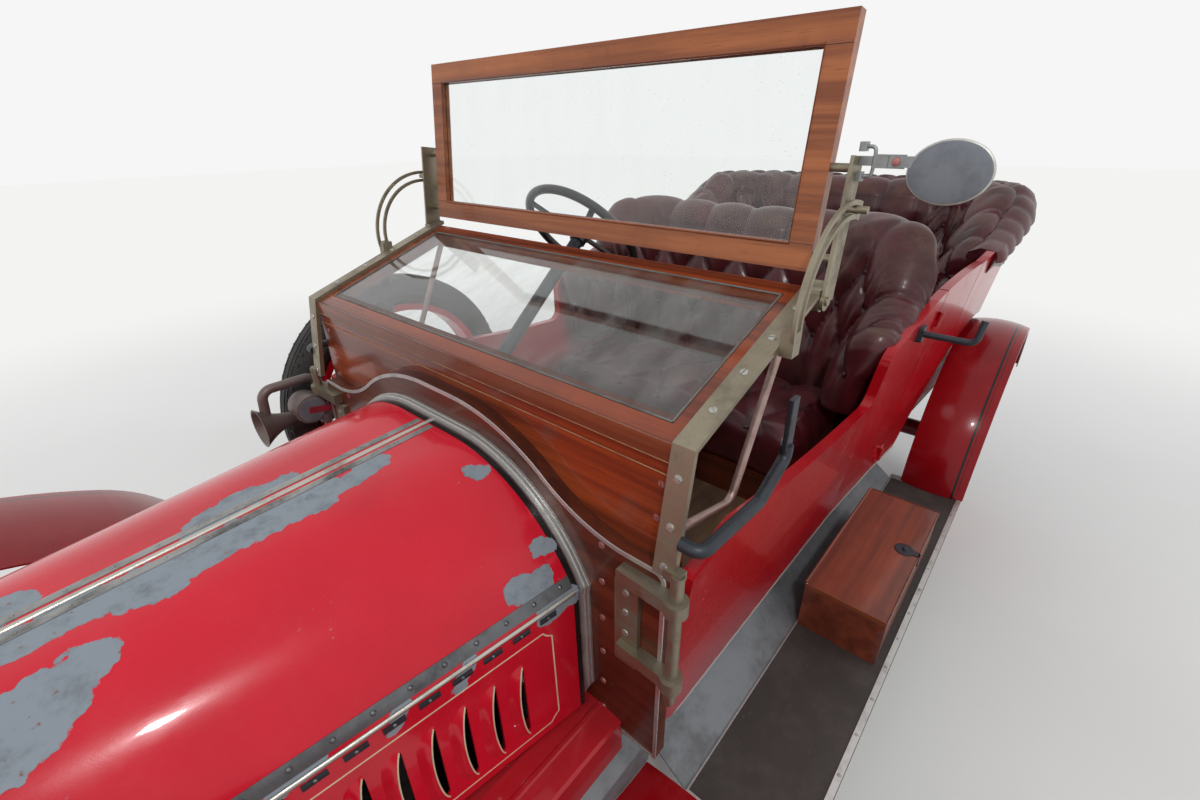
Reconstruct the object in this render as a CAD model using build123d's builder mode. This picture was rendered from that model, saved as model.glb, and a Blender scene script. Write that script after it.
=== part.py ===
from build123d import *
import os
from math import asin, cos, degrees, radians, sin, sqrt, tan

os.makedirs("parts", exist_ok=True)

# An open tourer of about 1912, right-hand drive, as separate pieces in one frame.
# +X points forward, +Y to the car's left and +Z up. The ground is Z = 0.
# Lengths are millimetres and angles are degrees.

SIDES = (("left", 1), ("right", -1))

# Ends of the chassis, which are the ends of the whole car
front_end = 2050
rear_end = -2050

# Axles and wheels
wheelbase = 3100
front_axle_x = 1620
rear_axle_x = front_axle_x - wheelbase
wheel_y = 700
tyre_radius = 410
tyre_width = 105
tread_half = 36
bead_radius = 305
bead_half = 34
bead_height = 13
seat_gap = 0.3
rim_sheet = 8
rim_thickness = 9
felloe_depth = 34
felloe_width = 50
spoke_count = 12
spoke_root = (34, 42)
spoke_taper = 1.4
hub_radius = 52
hub_inner = 60
hub_outer = 70
cap_radius = 34
cap_length = 26
stub_radius = 20
running_gap = 0.05
hub_end_gap = 5
drum_radius = 150
drum_width = 26
drum_gap = 6

# Front axle, knuckles and track rod
kingpin_y = 590
kingpin_radius = 12
boss_radius = 24
boss_half = 44
ear_thickness = 20
ear_gap = 1
yoke_thickness = 18
yoke_half = 18
beam_drop = 60
beam_z = tyre_radius - beam_drop
beam_half_height = 30
beam_half_width = 25
beam_recess = 9
steering_arm = 150
arm_width = 24
arm_thickness = 16
rod_radius = 10
rod_pin_radius = 8
rod_pin_gap = 0.5
rod_eye_half = 12
rod_drop = 18

# Chassis
rail_y = 370
rail_width = 52
rail_over_axle = 110
rail_height = 100
rail_bottom = tyre_radius + rail_over_axle
rail_top = rail_bottom + rail_height
horn_start = 1700
rear_horn_start = -1800
# middle points of the horns' arcs, under and over, as x and z
front_horn_under = (1870, rail_bottom + 8)
front_horn_over = (1930, rail_top - 48)
rear_horn_under = (-1920, rail_bottom)
rear_horn_over = (-1920, rail_top - 30)
horn_lips = ((20, 20), (12, 24))
hanger_rise = 22
hanger_neck = 4
eye_drop = 38
eye_z = rail_bottom - eye_drop
eye_radius = 16
eye_pin_radius = 8
cheek_radius = 24
cheek_thickness = 5
front_spring_half = front_end - front_axle_x - cheek_radius
rear_spring_half = rear_axle_x - rear_end - cheek_radius
spring_width = 40
leaf_thickness = 8
leaf_count = 5
cross_members = (-1900, -1010, 100, 1608)
cross_size = (60, 70)
cross_drop = 8
handle_bore = 14

# Road springs sit on the axles
front_pad_z = beam_z + beam_half_height
rear_tube_radius = 38
rear_pad_z = tyre_radius + rear_tube_radius
differential_radius = 125
backing_radius = 156
backing_thickness = 8

# Engine with its gearbox, one plain block
engine_rear = 860
engine_front = 1480
engine_half = 150
engine_bottom = 420
engine_top = 980
gearbox_rear = 150
gearbox_half = 110
gearbox_bottom = 430
gearbox_top = 600
engine_arm = (50, 36)
engine_arm_places = (940, 1400)
engine_arm_z = rail_top - 22

# Radiator
radiator_rear = 1556
radiator_depth = 104
radiator_half = 274
radiator_bottom = (rail_bottom + rail_top) / 2 - cross_drop + cross_size[1] / 2
radiator_shoulder = 912
radiator_top = 1104
shell_wall = 26
core_inset = 12
core_rib_depth = 8
# where the shoulder's arc passes, as shares of the half width and of the rise to the top
haunch = (0.74, 0.72)
cap_seat = 12
cap_rise = 44
cap_half = 26
core_rib_pitch = 22
core_rib = 5

# Bonnet, from the firewall to the radiator
bonnet_rear = 623
bonnet_front = 1550
bonnet_sheet = 4
bonnet_lift = 6
bonnet_bottom = rail_top + bonnet_lift
# section columns: x, crown z, flat half width, shoulder y, shoulder z
bonnet_sections = (
    (bonnet_rear, 1143, 90, 407, 943),
    (bonnet_front, 1092, 62, 266, 901),
)
centre_hinge_gap = 12
shoulder_gap = 6
hinge_fit = 0.3
hinge_radius = centre_hinge_gap / 2 - hinge_fit
shoulder_flare = 7
louvre_first = 758
louvre_pitch = 54
louvre_count = 12
louvre_bottom = 668
louvre_top = 845
louvre_width = 17

# Firewall, a mahogany board
firewall_front = 600
firewall_thickness = 28
firewall_bottom = 586
firewall_half = 576
column_hole_gap = 6
# upper edge from the side inwards, as half width and height: an arc, a line, then two arcs
firewall_shoulder = 1040
firewall_edge = ((570, 1056), (555, 1062), (485, 1061), (385, 1084), (300, 1132), (199, 1182), (48, 1207))

# Scuttle: a wooden box with a sloping pane
scuttle_half = 572
scuttle_board = 24
scuttle_bottom = 1000
scuttle_front_top = 1281
scuttle_rear_x = 168
scuttle_rear_top = 1421
scuttle_rail = (46, 30)
pane_thickness = 6
pane_frame = 30
pane_lap = 10
pane_gap = 1
pane_opening = 90
rail_deeper = 6
board_below_rail = 10

# Folding screen
pivot_x = 180
pivot_z = 1404
screen_lean = 6
screen_offset = 17
screen_bottom = 44
screen_top = 436
screen_half = 562
screen_rail = 46
screen_depth = 24
screen_pane = 5
screen_groove = 8
screen_arm_top = 232
stud_end = 18
screen_arm = (30, 6)
pivot_radius = 8
arm_y = 599
spacer_radius = 7
spacer_heights = (70, 215)
quadrant_inner = 138
quadrant_outer = 168
slot_inner = 146
slot_outer = 160
quadrant_y = 615
quadrant_thickness = 6
quadrant_low = -9
quadrant_high = 106
quadrant_lug = (331, 1372)
stud_radius = 6
mirror_r = (82, 64)
mirror_y = 737
mirror_z = 1617
mirror_behind = 44
mirror_thickness = 14
mirror_stem = (38, 9)
mirror_lap = 10

# Pillars that carry the screen
pillar_y = 579
pillar_width = 40
pillar_thickness = 8
rod_y = 604
pillar_rod_radius = 11
bracket_rod_x = 612
bracket_plate = (50, 200, 9)
bracket_plate_y = 505
bracket_z = 910
eye_heights = (853, 1027)
strip_foot = 1076
rod_foot = 806
stay_y = 548
stay_top = (182, 1374)
stay_knee = (345, 1040)
stay_foot = (545.5, 1096)
stay_bend = 28
stay_radius = 8
iron_y = 636
iron_root = (601, 1140)
iron_radius = 11
iron_bend = 18
iron_knee = (430, 1132)
iron_shoulder = 1176
spade_x = 342
spade_low = 1200
spade_size = (26, 9, 92)

# Wings
wing_sheet = 4
wing_inner = 520
wing_outer = 862
wing_crown = 16
wing_lip = 24
front_wing_radius = 550
front_wing_start = 41
sweep_radius = 1079
sweep_turn = 27.4
steep_radius = 300
steep_turn = 22.6
foot_radius = 450
rear_wing_inner = 652
rear_wing_radius = 532
rear_wing_end = 152.4

# Running boards, toolbox and spare
board_top = 431
board_thickness = 25
board_inner = 612
board_outer = wing_outer - wing_sheet - seat_gap
board_front = 560
board_rear = -975
board_arms = (350, -250, -850)
board_arm_half = 16
apron_rear = -940
apron_front = 536
apron_sheet = 3
apron_drop = 20
apron_top = rail_top - apron_drop
apron_foot = 617
toolbox_front = -29
toolbox_rear = -576
toolbox_inner = 620
toolbox_outer = 824
toolbox_height = 156
toolbox_wall = 12
lid_thickness = 16
lid_gap = 0.3
lid_barrel = 4
spare_x = 270
spare_y = -780
spare_clear = 0.4
spare_z = board_top + spare_clear + tyre_radius
chock = (110, 40, 46)

# Body
body_bottom = 570
body_wall = 26
body_flare = 7
body_front = 572
body_arch = 566
inner_panel = 6
inner_panel_lap = 22
door_front = -720
door_rear = -1085
door_gap = 6
hinge_places = (50, 560)
hinge_half_length = 24
hinge_barrel = 7
hinge_pin = 4
hinge_leaf = (34, 5.5)
hinge_end_gap = 0.3
floor_thickness = 16
floor_top = rail_top + floor_thickness
# plan columns: x, half width at the bottom
body_plan = ((700, 548), (0, 555), (-360, 560), (-720, 580), (-1085, 606), (-1560, 630))
body_tail = -1840
tail_half = 400
tail_knee = 560
body_height = 880
# side view of the body's upper edge, as x and z, from the scuttle to the tail
cowl = (440, 1086)
cowl_rise = 1050
cowl_foot = 700
elbow = ((80, 1026), (-300, 992), (-330, 1003), (-342, 1034))
seat_side = ((-350, 1106), (-364, 1134), (-392, 1152), (-640, 1226))
rear_edge = ((-860, 1256), 1262, (-1420, 1316), (-1700, 1420))
sill_front = (534, 606)
body_limit = -2100

# Seats
seat_box_top = 745
box_wall = 16
front_box = (-706, -190, 480)
rear_box = (-1790, -1210, 440)
panel_half = 490
panel_top = 1230
cushion_thickness = 150
cushion_corner = 60
cushion_round = 40
front_cushion = (-590, -160, 500)
rear_cushion = (-1650, -1190, 500)
seat_rake = 9
back_thick = 108
back_corner_less = 60
front_back_corner = 150
rear_back_corner = 190
back_rear_x = -706
front_back_front = -372
front_back_half = 528
front_back_view = (
    (-1000, 740), (-596, 740), (-596, 912), (-372, 912), (-360, 1160), (-410, 1210),
    (-560, 1340), (-640, 1430), (-1000, 1430),
)
rear_back_x = -1785
rear_back_front = -1250
rear_back_half = 588
rear_back_view = (
    (-2100, 740), (-1660, 740), (-1660, 912), (-1250, 912), (-1240, 1240), (-1300, 1300),
    (-1500, 1400), (-1620, 1460), (-2100, 1460),
)

# Steering
column_radius = 20
column_y = -280
column_tilt = 40
steering_wheel_x = -150
steering_wheel_z = 1380
steering_wheel_radius = 200
steering_rim = 13
spoke_angle = 45
spoke_size = (18, 8)
wheel_boss = (30, 26, 28)
shaft_reach = 84
column_start = 30
column_bore = 64
column_length = 1140
shaft_radius = 10
steering_box_radius = 46

# Lamps and horn
headlamp_radius = 108
headlamp_x = 1740
headlamp_y = 336
headlamp_rise = 180
headlamp_z = rail_top + headlamp_rise
lamp_post_radius = 12
lamp_post_bend = 16
lamp_foot = (50, 40, 10)
lamp_foot_x = horn_start - 35
# a lamp's shell: back and waist as x and radius, flare as x and cut from the radius, rim from x to x
lamp_back = (-62, 60)
lamp_waist = (-30, 94)
lamp_flare = (40, 6)
lamp_rim = (48, 66)
horn_x = 590
horn_y = -668
horn_z = 940
horn_drum = 44
horn_length = 180
horn_mouth = 56
horn_back = 21
horn_bell = 60
horn_throat = 17
horn_wall = 4
horn_loop = (6, 150, 156)
horn_loop_z = (30, 104, 32)
horn_loop_bend = 30
horn_tube = 13

# Exhaust
exhaust_y = -222
exhaust_z = rail_bottom - 70
manifold_z = rail_bottom - 20
over_axle_z = rail_bottom - 8
exhaust_radius = 23
silencer = (-250, 560, 62)
exhaust_route = (
    (1100, -engine_half, manifold_z),
    (1100, exhaust_y, manifold_z),
    (900, exhaust_y, exhaust_z),
    (-1180, exhaust_y, exhaust_z),
    (-1340, exhaust_y, over_axle_z),
    (-1620, exhaust_y, over_axle_z),
    (-1780, exhaust_y, exhaust_z),
    (-1960, exhaust_y, exhaust_z),
)

# Hood irons
hood_iron_x = -550
hood_iron_y = 643.5
hood_iron_z = 1150
hood_iron_reach = 779
hood_iron_radius = 9
hood_iron_bend = 20
hood_iron_tip = (12, 6, 62)
hood_iron_plate = (40, 44, 6, 24)


def tyre_section():
    """Half round tyre section, across the wheel and out from its axle."""
    with BuildSketch(Plane.YZ) as section:
        with BuildLine():
            Line((-bead_half, bead_radius), (bead_half, bead_radius))
            for side in (1, -1):
                Line((side * bead_half, bead_radius), (side * bead_half, bead_radius + bead_height))
                ThreePointArc(
                    (side * bead_half, bead_radius + bead_height),
                    (side * tyre_width / 2, (bead_radius + tyre_radius) / 2 + 4),
                    (side * tread_half, tyre_radius - 8),
                )
            ThreePointArc((-tread_half, tyre_radius - 8), (0, tyre_radius), (tread_half, tyre_radius - 8))
        make_face()
    return section.sketch


def rim_section():
    """Section of the steel rim of a wheel centred on the origin, inside the tyre."""
    base = bead_radius - seat_gap
    edge = bead_half + seat_gap
    with BuildSketch(Plane.YZ) as section:
        with BuildLine():
            Polyline(
                (-edge - rim_sheet, base - rim_thickness),
                (-edge - rim_sheet, bead_radius + bead_height - 1),
                (-edge, bead_radius + bead_height - 1),
                (-edge, base),
                (edge, base),
                (edge, bead_radius + bead_height - 1),
                (edge + rim_sheet, bead_radius + bead_height - 1),
                (edge + rim_sheet, base - rim_thickness),
                close=True,
            )
        make_face()
    return section.sketch


# Tyre, spoked wheel and bare spare rim, each about its own centre with +Y outward
with BuildPart() as tyre_master:
    add(tyre_section())
    revolve(axis=Axis.Y)

with BuildPart() as rim_master:
    add(rim_section())
    revolve(axis=Axis.Y)

felloe_outer = bead_radius - seat_gap - rim_thickness
felloe_inner = felloe_outer - felloe_depth
with BuildPart() as wheel_master:
    add(rim_section())
    revolve(axis=Axis.Y)
    with BuildSketch(Plane.YZ):
        with Locations((0, (felloe_outer + felloe_inner) / 2)):
            Rectangle(felloe_width, felloe_depth + 0.02)
    revolve(axis=Axis.Y)
    for number in range(spoke_count):
        turn = radians(360 * (number + 0.5) / spoke_count)
        outward = Vector(cos(turn), 0, sin(turn))
        with BuildSketch(Plane(origin=outward * (hub_radius - 12), x_dir=(0, 1, 0), z_dir=outward)):
            RectangleRounded(spoke_root[0], spoke_root[1] - 12, 10)
        extrude(amount=felloe_inner - hub_radius + 16, taper=spoke_taper)
    with BuildSketch(Plane.YZ):
        with BuildLine():
            Polyline(
                (-hub_inner, 0),
                (-hub_inner, hub_radius - 14),
                (-26, hub_radius - 10),
                (-26, hub_radius + 24),
                (-20, hub_radius + 24),
                (20, hub_radius + 24),
                (26, hub_radius + 24),
                (26, hub_radius - 10),
                (hub_outer, cap_radius),
                (hub_outer + cap_length, cap_radius - 6),
                (hub_outer + cap_length, 0),
                close=True,
            )
        make_face()
    revolve(axis=Axis.Y)
    with BuildSketch(Plane.XZ.offset(hub_inner)):
        Circle(stub_radius + running_gap)
    extrude(amount=-(hub_inner + hub_outer), mode=Mode.SUBTRACT)

with BuildPart() as drum_master:
    with BuildSketch(Plane.XZ.offset(hub_inner - 4)):
        Circle(drum_radius)
        Circle(hub_radius - 16, mode=Mode.SUBTRACT)
    extrude(amount=-drum_width)

wheel_places = (
    ("front_left", front_axle_x, 1, False),
    ("front_right", front_axle_x, -1, False),
    ("rear_left", rear_axle_x, 1, True),
    ("rear_right", rear_axle_x, -1, True),
)
for place, axle_x, side, has_drum in wheel_places:
    centre = Location((axle_x, side * wheel_y, tyre_radius), (0, 0, 90 - 90 * side))
    with BuildPart() as tyre:
        with Locations(centre):
            add(tyre_master.part)
    tyre.part.label = f"tyre_{place}"
    export_step(tyre.part, f"parts/tyre_{place}.step")

    with BuildPart() as wheel:
        with Locations(centre):
            add(wheel_master.part)
            if has_drum:
                add(drum_master.part)
    wheel.part.label = f"wheel_{place}"
    export_step(wheel.part, f"parts/wheel_{place}.step")

spare_place = Location((spare_x, spare_y, spare_z), (0, 0, 180))
with BuildPart() as spare_tyre:
    with Locations(spare_place):
        add(tyre_master.part)
spare_tyre.part.label = "spare_tyre"
export_step(spare_tyre.part, "parts/spare_tyre.step")

with BuildPart() as spare_rim:
    with Locations(spare_place):
        add(rim_master.part)
spare_rim.part.label = "spare_rim"
export_step(spare_rim.part, "parts/spare_rim.step")

# Front axle: an I-beam with a yoke for the knuckle at each end
boss_low = tyre_radius - boss_half
boss_high = tyre_radius + boss_half
ear_bottom = boss_low - ear_gap - ear_thickness
ear_top = boss_high + ear_gap + ear_thickness
yoke_face = kingpin_y - boss_radius - 6
with BuildPart() as front_axle:
    with BuildSketch(Plane.YZ.offset(front_axle_x)):
        with BuildLine():
            Polyline(
                (-yoke_face, ear_bottom),
                (-yoke_face + 60, beam_z - beam_half_height),
                (yoke_face - 60, beam_z - beam_half_height),
                (yoke_face, ear_bottom),
                (yoke_face, ear_top),
                (yoke_face - yoke_thickness, ear_top),
                (yoke_face - 60, beam_z + beam_half_height),
                (-yoke_face + 60, beam_z + beam_half_height),
                (-yoke_face + yoke_thickness, ear_top),
                (-yoke_face, ear_top),
                close=True,
            )
        make_face()
    extrude(amount=yoke_half, both=True)
    with BuildSketch(Plane.YZ.offset(front_axle_x)):
        with Locations((0, beam_z)):
            Rectangle(2 * (yoke_face - 60), 2 * beam_half_height)
    extrude(amount=beam_half_width, both=True)
    for face_side in (1, -1):
        with BuildSketch(Plane.YZ.offset(front_axle_x + face_side * (beam_half_width - beam_recess))):
            for half in (1, -1):
                with Locations((half * 190, beam_z)):
                    Rectangle(290, 2 * beam_half_height - 24)
        extrude(amount=face_side * beam_recess, mode=Mode.SUBTRACT)
    for side in (1, -1):
        for low in (ear_bottom, boss_high + ear_gap):
            with BuildSketch(Plane.XY.offset(low)):
                with Locations((front_axle_x, side * kingpin_y)):
                    Circle(boss_radius + 2)
                with Locations((front_axle_x, side * (kingpin_y + yoke_face) / 2)):
                    Rectangle(2 * yoke_half, kingpin_y - yoke_face)
            extrude(amount=ear_thickness)
        with BuildSketch(Plane.XY.offset(ear_bottom)):
            with Locations((front_axle_x, side * kingpin_y)):
                Circle(kingpin_radius)
        extrude(amount=ear_top - ear_bottom, mode=Mode.SUBTRACT)
front_axle.part.label = "front_axle"
export_step(front_axle.part, "parts/front_axle.step")

# Knuckles: kingpin, boss, stub axle and the steering arm to the rear
arm_low = boss_low
rod_x = front_axle_x - steering_arm
for name, side in SIDES:
    with BuildPart() as knuckle:
        with BuildSketch(Plane.XY.offset(boss_low)):
            with Locations((front_axle_x, side * kingpin_y)):
                Circle(boss_radius)
        extrude(amount=2 * boss_half)
        with BuildSketch(Plane.XY.offset(ear_bottom - 4)):
            with Locations((front_axle_x, side * kingpin_y)):
                Circle(kingpin_radius - running_gap)
        extrude(amount=ear_top - ear_bottom + 8)
        with BuildSketch(Plane(origin=(front_axle_x, side * kingpin_y, tyre_radius), z_dir=(0, side, 0))):
            Circle(stub_radius)
        extrude(amount=wheel_y + hub_outer - hub_end_gap - kingpin_y)
        with BuildSketch(Plane.XY.offset(arm_low)):
            with Locations((front_axle_x - steering_arm / 2, side * kingpin_y)):
                Rectangle(steering_arm, arm_width)
            with Locations((rod_x, side * kingpin_y)):
                Circle(arm_width / 2 + 4)
        extrude(amount=arm_thickness)
        with BuildSketch(Plane.XY.offset(arm_low)):
            with Locations((rod_x, side * kingpin_y)):
                Circle(rod_pin_radius)
        extrude(amount=-rod_drop - rod_eye_half - 4)
    knuckle.part.label = f"knuckle_{name}"
    export_step(knuckle.part, f"parts/knuckle_{name}.step")

rod_z = arm_low - rod_drop
with BuildPart() as track_rod:
    with BuildSketch(Plane.XZ.offset(-kingpin_y)):
        with Locations((rod_x, rod_z)):
            Circle(rod_radius)
    extrude(amount=2 * kingpin_y)
    with BuildSketch(Plane.XY.offset(rod_z)):
        with Locations((rod_x, kingpin_y), (rod_x, -kingpin_y)):
            Circle(rod_pin_radius + 9)
    extrude(amount=rod_eye_half, both=True)
    with BuildSketch(Plane.XY.offset(rod_z)):
        with Locations((rod_x, kingpin_y), (rod_x, -kingpin_y)):
            Circle(rod_pin_radius + rod_pin_gap)
    extrude(amount=2 * rod_eye_half, both=True, mode=Mode.SUBTRACT)
track_rod.part.label = "track_rod"
export_step(track_rod.part, "parts/track_rod.step")

# Rear axle: tube, differential and brake backing plates
with BuildPart() as rear_axle:
    with BuildSketch(Plane.YZ.offset(rear_axle_x)):
        with BuildLine():
            Polyline(
                (-wheel_y - hub_outer + hub_end_gap, tyre_radius),
                (-wheel_y - hub_outer + hub_end_gap, tyre_radius + stub_radius),
                (-wheel_y + hub_inner + drum_gap, tyre_radius + stub_radius),
                (-wheel_y + hub_inner + drum_gap, tyre_radius + backing_radius),
                (-wheel_y + hub_inner + drum_gap + backing_thickness, tyre_radius + backing_radius),
                (-wheel_y + hub_inner + drum_gap + backing_thickness, tyre_radius + rear_tube_radius),
                (-differential_radius - 40, tyre_radius + rear_tube_radius),
                (-60, tyre_radius + differential_radius),
                (60, tyre_radius + differential_radius),
                (differential_radius + 40, tyre_radius + rear_tube_radius),
                (wheel_y - hub_inner - drum_gap - backing_thickness, tyre_radius + rear_tube_radius),
                (wheel_y - hub_inner - drum_gap - backing_thickness, tyre_radius + backing_radius),
                (wheel_y - hub_inner - drum_gap, tyre_radius + backing_radius),
                (wheel_y - hub_inner - drum_gap, tyre_radius + stub_radius),
                (wheel_y + hub_outer - hub_end_gap, tyre_radius + stub_radius),
                (wheel_y + hub_outer - hub_end_gap, tyre_radius),
                close=True,
            )
        make_face()
    revolve(axis=Axis((rear_axle_x, 0, tyre_radius), (0, 1, 0)))
    with BuildSketch(Plane.YZ.offset(rear_axle_x)):
        with Locations((0, tyre_radius)):
            Circle(60)
    extrude(amount=differential_radius + 60)
    with BuildSketch(Plane.YZ.offset(rear_axle_x + differential_radius)):
        with Locations((0, tyre_radius)):
            Circle(34)
    extrude(amount=gearbox_rear - rear_axle_x - differential_radius - 4)
rear_axle.part.label = "rear_axle"
export_step(rear_axle.part, "parts/rear_axle.step")


def spring_radius(half_length, rise):
    """Radius of a shallow arc of that half length and rise."""
    return (half_length**2 + rise**2) / (2 * rise)


# Leaf springs: one pair on each axle, the leaves shorter towards the axle
with BuildPart() as leaf_springs:
    for middle_x, half_length, pad_z in (
        (front_axle_x, front_spring_half, front_pad_z),
        (rear_axle_x, rear_spring_half, rear_pad_z),
    ):
        pack = leaf_count * leaf_thickness
        rise = eye_z - eye_radius + leaf_thickness - pad_z - pack
        radius = spring_radius(half_length, rise)
        for side in (1, -1):
            for leaf in range(leaf_count):
                top = pad_z + pack - leaf * leaf_thickness
                outer = radius + leaf * leaf_thickness
                reach = half_length * (1 - 0.17 * leaf)
                angle = reach / radius
                with BuildSketch(Plane.XZ.offset(-side * rail_y)):
                    with BuildLine():
                        inner_ends = []
                        outer_ends = []
                        for end in (-1, 1):
                            inner_ends.append(
                                (middle_x + end * outer * sin(angle), top + outer * (1 - cos(angle)))
                            )
                            outer_ends.append(
                                (
                                    middle_x + end * (outer + leaf_thickness) * sin(angle),
                                    top - leaf_thickness + (outer + leaf_thickness) * (1 - cos(angle)),
                                )
                            )
                        ThreePointArc(inner_ends[0], (middle_x, top), inner_ends[1])
                        Line(inner_ends[1], outer_ends[1])
                        ThreePointArc(outer_ends[1], (middle_x, top - leaf_thickness), outer_ends[0])
                        Line(outer_ends[0], inner_ends[0])
                    make_face()
                extrude(amount=spring_width / 2, both=True)
            for end in (-1, 1):
                with BuildSketch(Plane.XZ.offset(-side * rail_y)):
                    with Locations((middle_x + end * half_length, eye_z)):
                        Circle(eye_radius)
                extrude(amount=spring_width / 2, both=True)
                with BuildSketch(Plane.XZ.offset(-side * rail_y)):
                    with Locations((middle_x + end * half_length, eye_z)):
                        Circle(eye_pin_radius + running_gap)
                extrude(amount=spring_width / 2, both=True, mode=Mode.SUBTRACT)
leaf_springs.part.label = "leaf_springs"
export_step(leaf_springs.part, "parts/leaf_springs.step")

# Chassis frame: two rails with curved horns, cross members and spring hangers
front_eye_x = front_axle_x + front_spring_half
rear_eye_x = rear_axle_x - rear_spring_half
(back, low_rise), (reach, high_rise) = horn_lips
front_lips = ((front_eye_x - back, eye_z + low_rise), (front_eye_x + reach, eye_z + high_rise))
rear_lips = ((rear_eye_x + back, eye_z + low_rise), (rear_eye_x - reach, eye_z + high_rise))
cross_z = (rail_bottom + rail_top) / 2 - cross_drop
with BuildPart() as chassis_frame:
    for side in (1, -1):
        with BuildSketch(Plane.XZ.offset(-side * rail_y)):
            with BuildLine():
                Line((rear_horn_start, rail_bottom), (horn_start, rail_bottom))
                ThreePointArc((horn_start, rail_bottom), front_horn_under, front_lips[0])
                Line(*front_lips)
                ThreePointArc(front_lips[1], front_horn_over, (horn_start, rail_top))
                Line((horn_start, rail_top), (rear_horn_start, rail_top))
                ThreePointArc((rear_horn_start, rail_top), rear_horn_over, rear_lips[1])
                Line(rear_lips[1], rear_lips[0])
                ThreePointArc(rear_lips[0], rear_horn_under, (rear_horn_start, rail_bottom))
            make_face()
        extrude(amount=rail_width / 2, both=True)
        for eye_x in (
            front_eye_x,
            front_axle_x - front_spring_half,
            rear_axle_x + rear_spring_half,
            rear_eye_x,
        ):
            for cheek in (-1, 1):
                cheek_y = side * rail_y + cheek * (rail_width - cheek_thickness) / 2
                with BuildSketch(Plane.XZ.offset(-cheek_y)):
                    with Locations((eye_x, eye_z)):
                        Circle(cheek_radius)
                    with Locations((eye_x, eye_z + hanger_rise)):
                        Rectangle(2 * cheek_radius - hanger_neck, 2 * hanger_rise)
                extrude(amount=cheek_thickness / 2, both=True)
            with BuildSketch(Plane.XZ.offset(-side * rail_y)):
                with Locations((eye_x, eye_z)):
                    Circle(eye_pin_radius)
            extrude(amount=rail_width / 2 + 4, both=True)
    for cross_x in cross_members:
        with BuildSketch(Plane.XZ.offset(-(rail_y - rail_width / 2))):
            with Locations((cross_x, cross_z)):
                Rectangle(cross_size[0], cross_size[1])
        extrude(amount=2 * (rail_y - rail_width / 2))
    with BuildSketch(Plane.YZ.offset(cross_members[-1])):
        with Locations((0, cross_z)):
            Circle(handle_bore)
    extrude(amount=cross_size[0], both=True, mode=Mode.SUBTRACT)
chassis_frame.part.label = "chassis_frame"
export_step(chassis_frame.part, "parts/chassis_frame.step")

# Engine and gearbox, closed in, as one plain block
with BuildPart() as engine_block:
    with BuildSketch(Plane.XY.offset(engine_bottom)):
        with Locations(((engine_front + engine_rear) / 2, 0)):
            Rectangle(engine_front - engine_rear, 2 * engine_half)
    extrude(amount=engine_top - engine_bottom)
    with BuildSketch(Plane.XY.offset(gearbox_bottom)):
        with Locations(((engine_rear + gearbox_rear) / 2, 0)):
            Rectangle(engine_rear - gearbox_rear, 2 * gearbox_half)
    extrude(amount=gearbox_top - gearbox_bottom)
    for arm_x in engine_arm_places:
        with BuildSketch(Plane.XZ):
            with Locations((arm_x, engine_arm_z)):
                Rectangle(engine_arm[0], engine_arm[1])
        extrude(amount=rail_y - rail_width / 2, both=True)
engine_block.part.label = "engine_block"
export_step(engine_block.part, "parts/engine_block.step")


def radiator_outline(half, shoulder, top, bottom):
    """Front outline of the radiator: straight sides, round shoulders, low arched top."""
    with BuildSketch() as outline:
        with BuildLine():
            Line((-half, bottom), (half, bottom))
            Line((half, bottom), (half, shoulder))
            knee = (half * haunch[0], shoulder + (top - shoulder) * haunch[1])
            ThreePointArc((half, shoulder), knee, (0, top))
            ThreePointArc((0, top), (-knee[0], knee[1]), (-half, shoulder))
            Line((-half, shoulder), (-half, bottom))
        make_face()
    return outline.sketch


with BuildPart() as radiator_shell:
    with BuildSketch(Plane.YZ.offset(radiator_rear)):
        add(radiator_outline(radiator_half, radiator_shoulder, radiator_top, radiator_bottom))
    extrude(amount=radiator_depth)
    with BuildSketch(Plane.YZ.offset(radiator_rear)):
        add(
            radiator_outline(
                radiator_half - shell_wall,
                radiator_shoulder - 2 * shell_wall,
                radiator_top - 4 * shell_wall,
                radiator_bottom + shell_wall,
            )
        )
    extrude(amount=radiator_depth, mode=Mode.SUBTRACT)
    with BuildSketch(Plane.XY.offset(radiator_top - cap_seat)):
        with Locations((radiator_rear + radiator_depth / 2, 0)):
            Circle(cap_half)
    extrude(amount=cap_rise)
radiator_shell.part.label = "radiator_shell"
export_step(radiator_shell.part, "parts/radiator_shell.step")

core_gap = seat_gap
core_half = radiator_half - shell_wall - core_gap
core_outline = radiator_outline(
    core_half,
    radiator_shoulder - 2 * shell_wall - core_gap,
    radiator_top - 4 * shell_wall - core_gap,
    radiator_bottom + shell_wall + core_gap,
)
with BuildPart() as radiator_core:
    with BuildSketch(Plane.YZ.offset(radiator_rear + core_inset + core_rib_depth)):
        add(core_outline)
    extrude(amount=radiator_depth - 2 * (core_inset + core_rib_depth))
    with BuildSketch(Plane.YZ.offset(radiator_rear + radiator_depth - core_inset - core_rib_depth)):
        add(core_outline)
        rib_count = int(2 * core_half / core_rib_pitch)
        with Locations((0, (radiator_top + radiator_bottom) / 2)):
            with GridLocations(core_rib_pitch, 1, rib_count, 1):
                Rectangle(core_rib_pitch - core_rib, radiator_top, mode=Mode.SUBTRACT)
    extrude(amount=core_rib_depth)
radiator_core.part.label = "radiator_core"
export_step(radiator_core.part, "parts/radiator_core.step")


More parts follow.
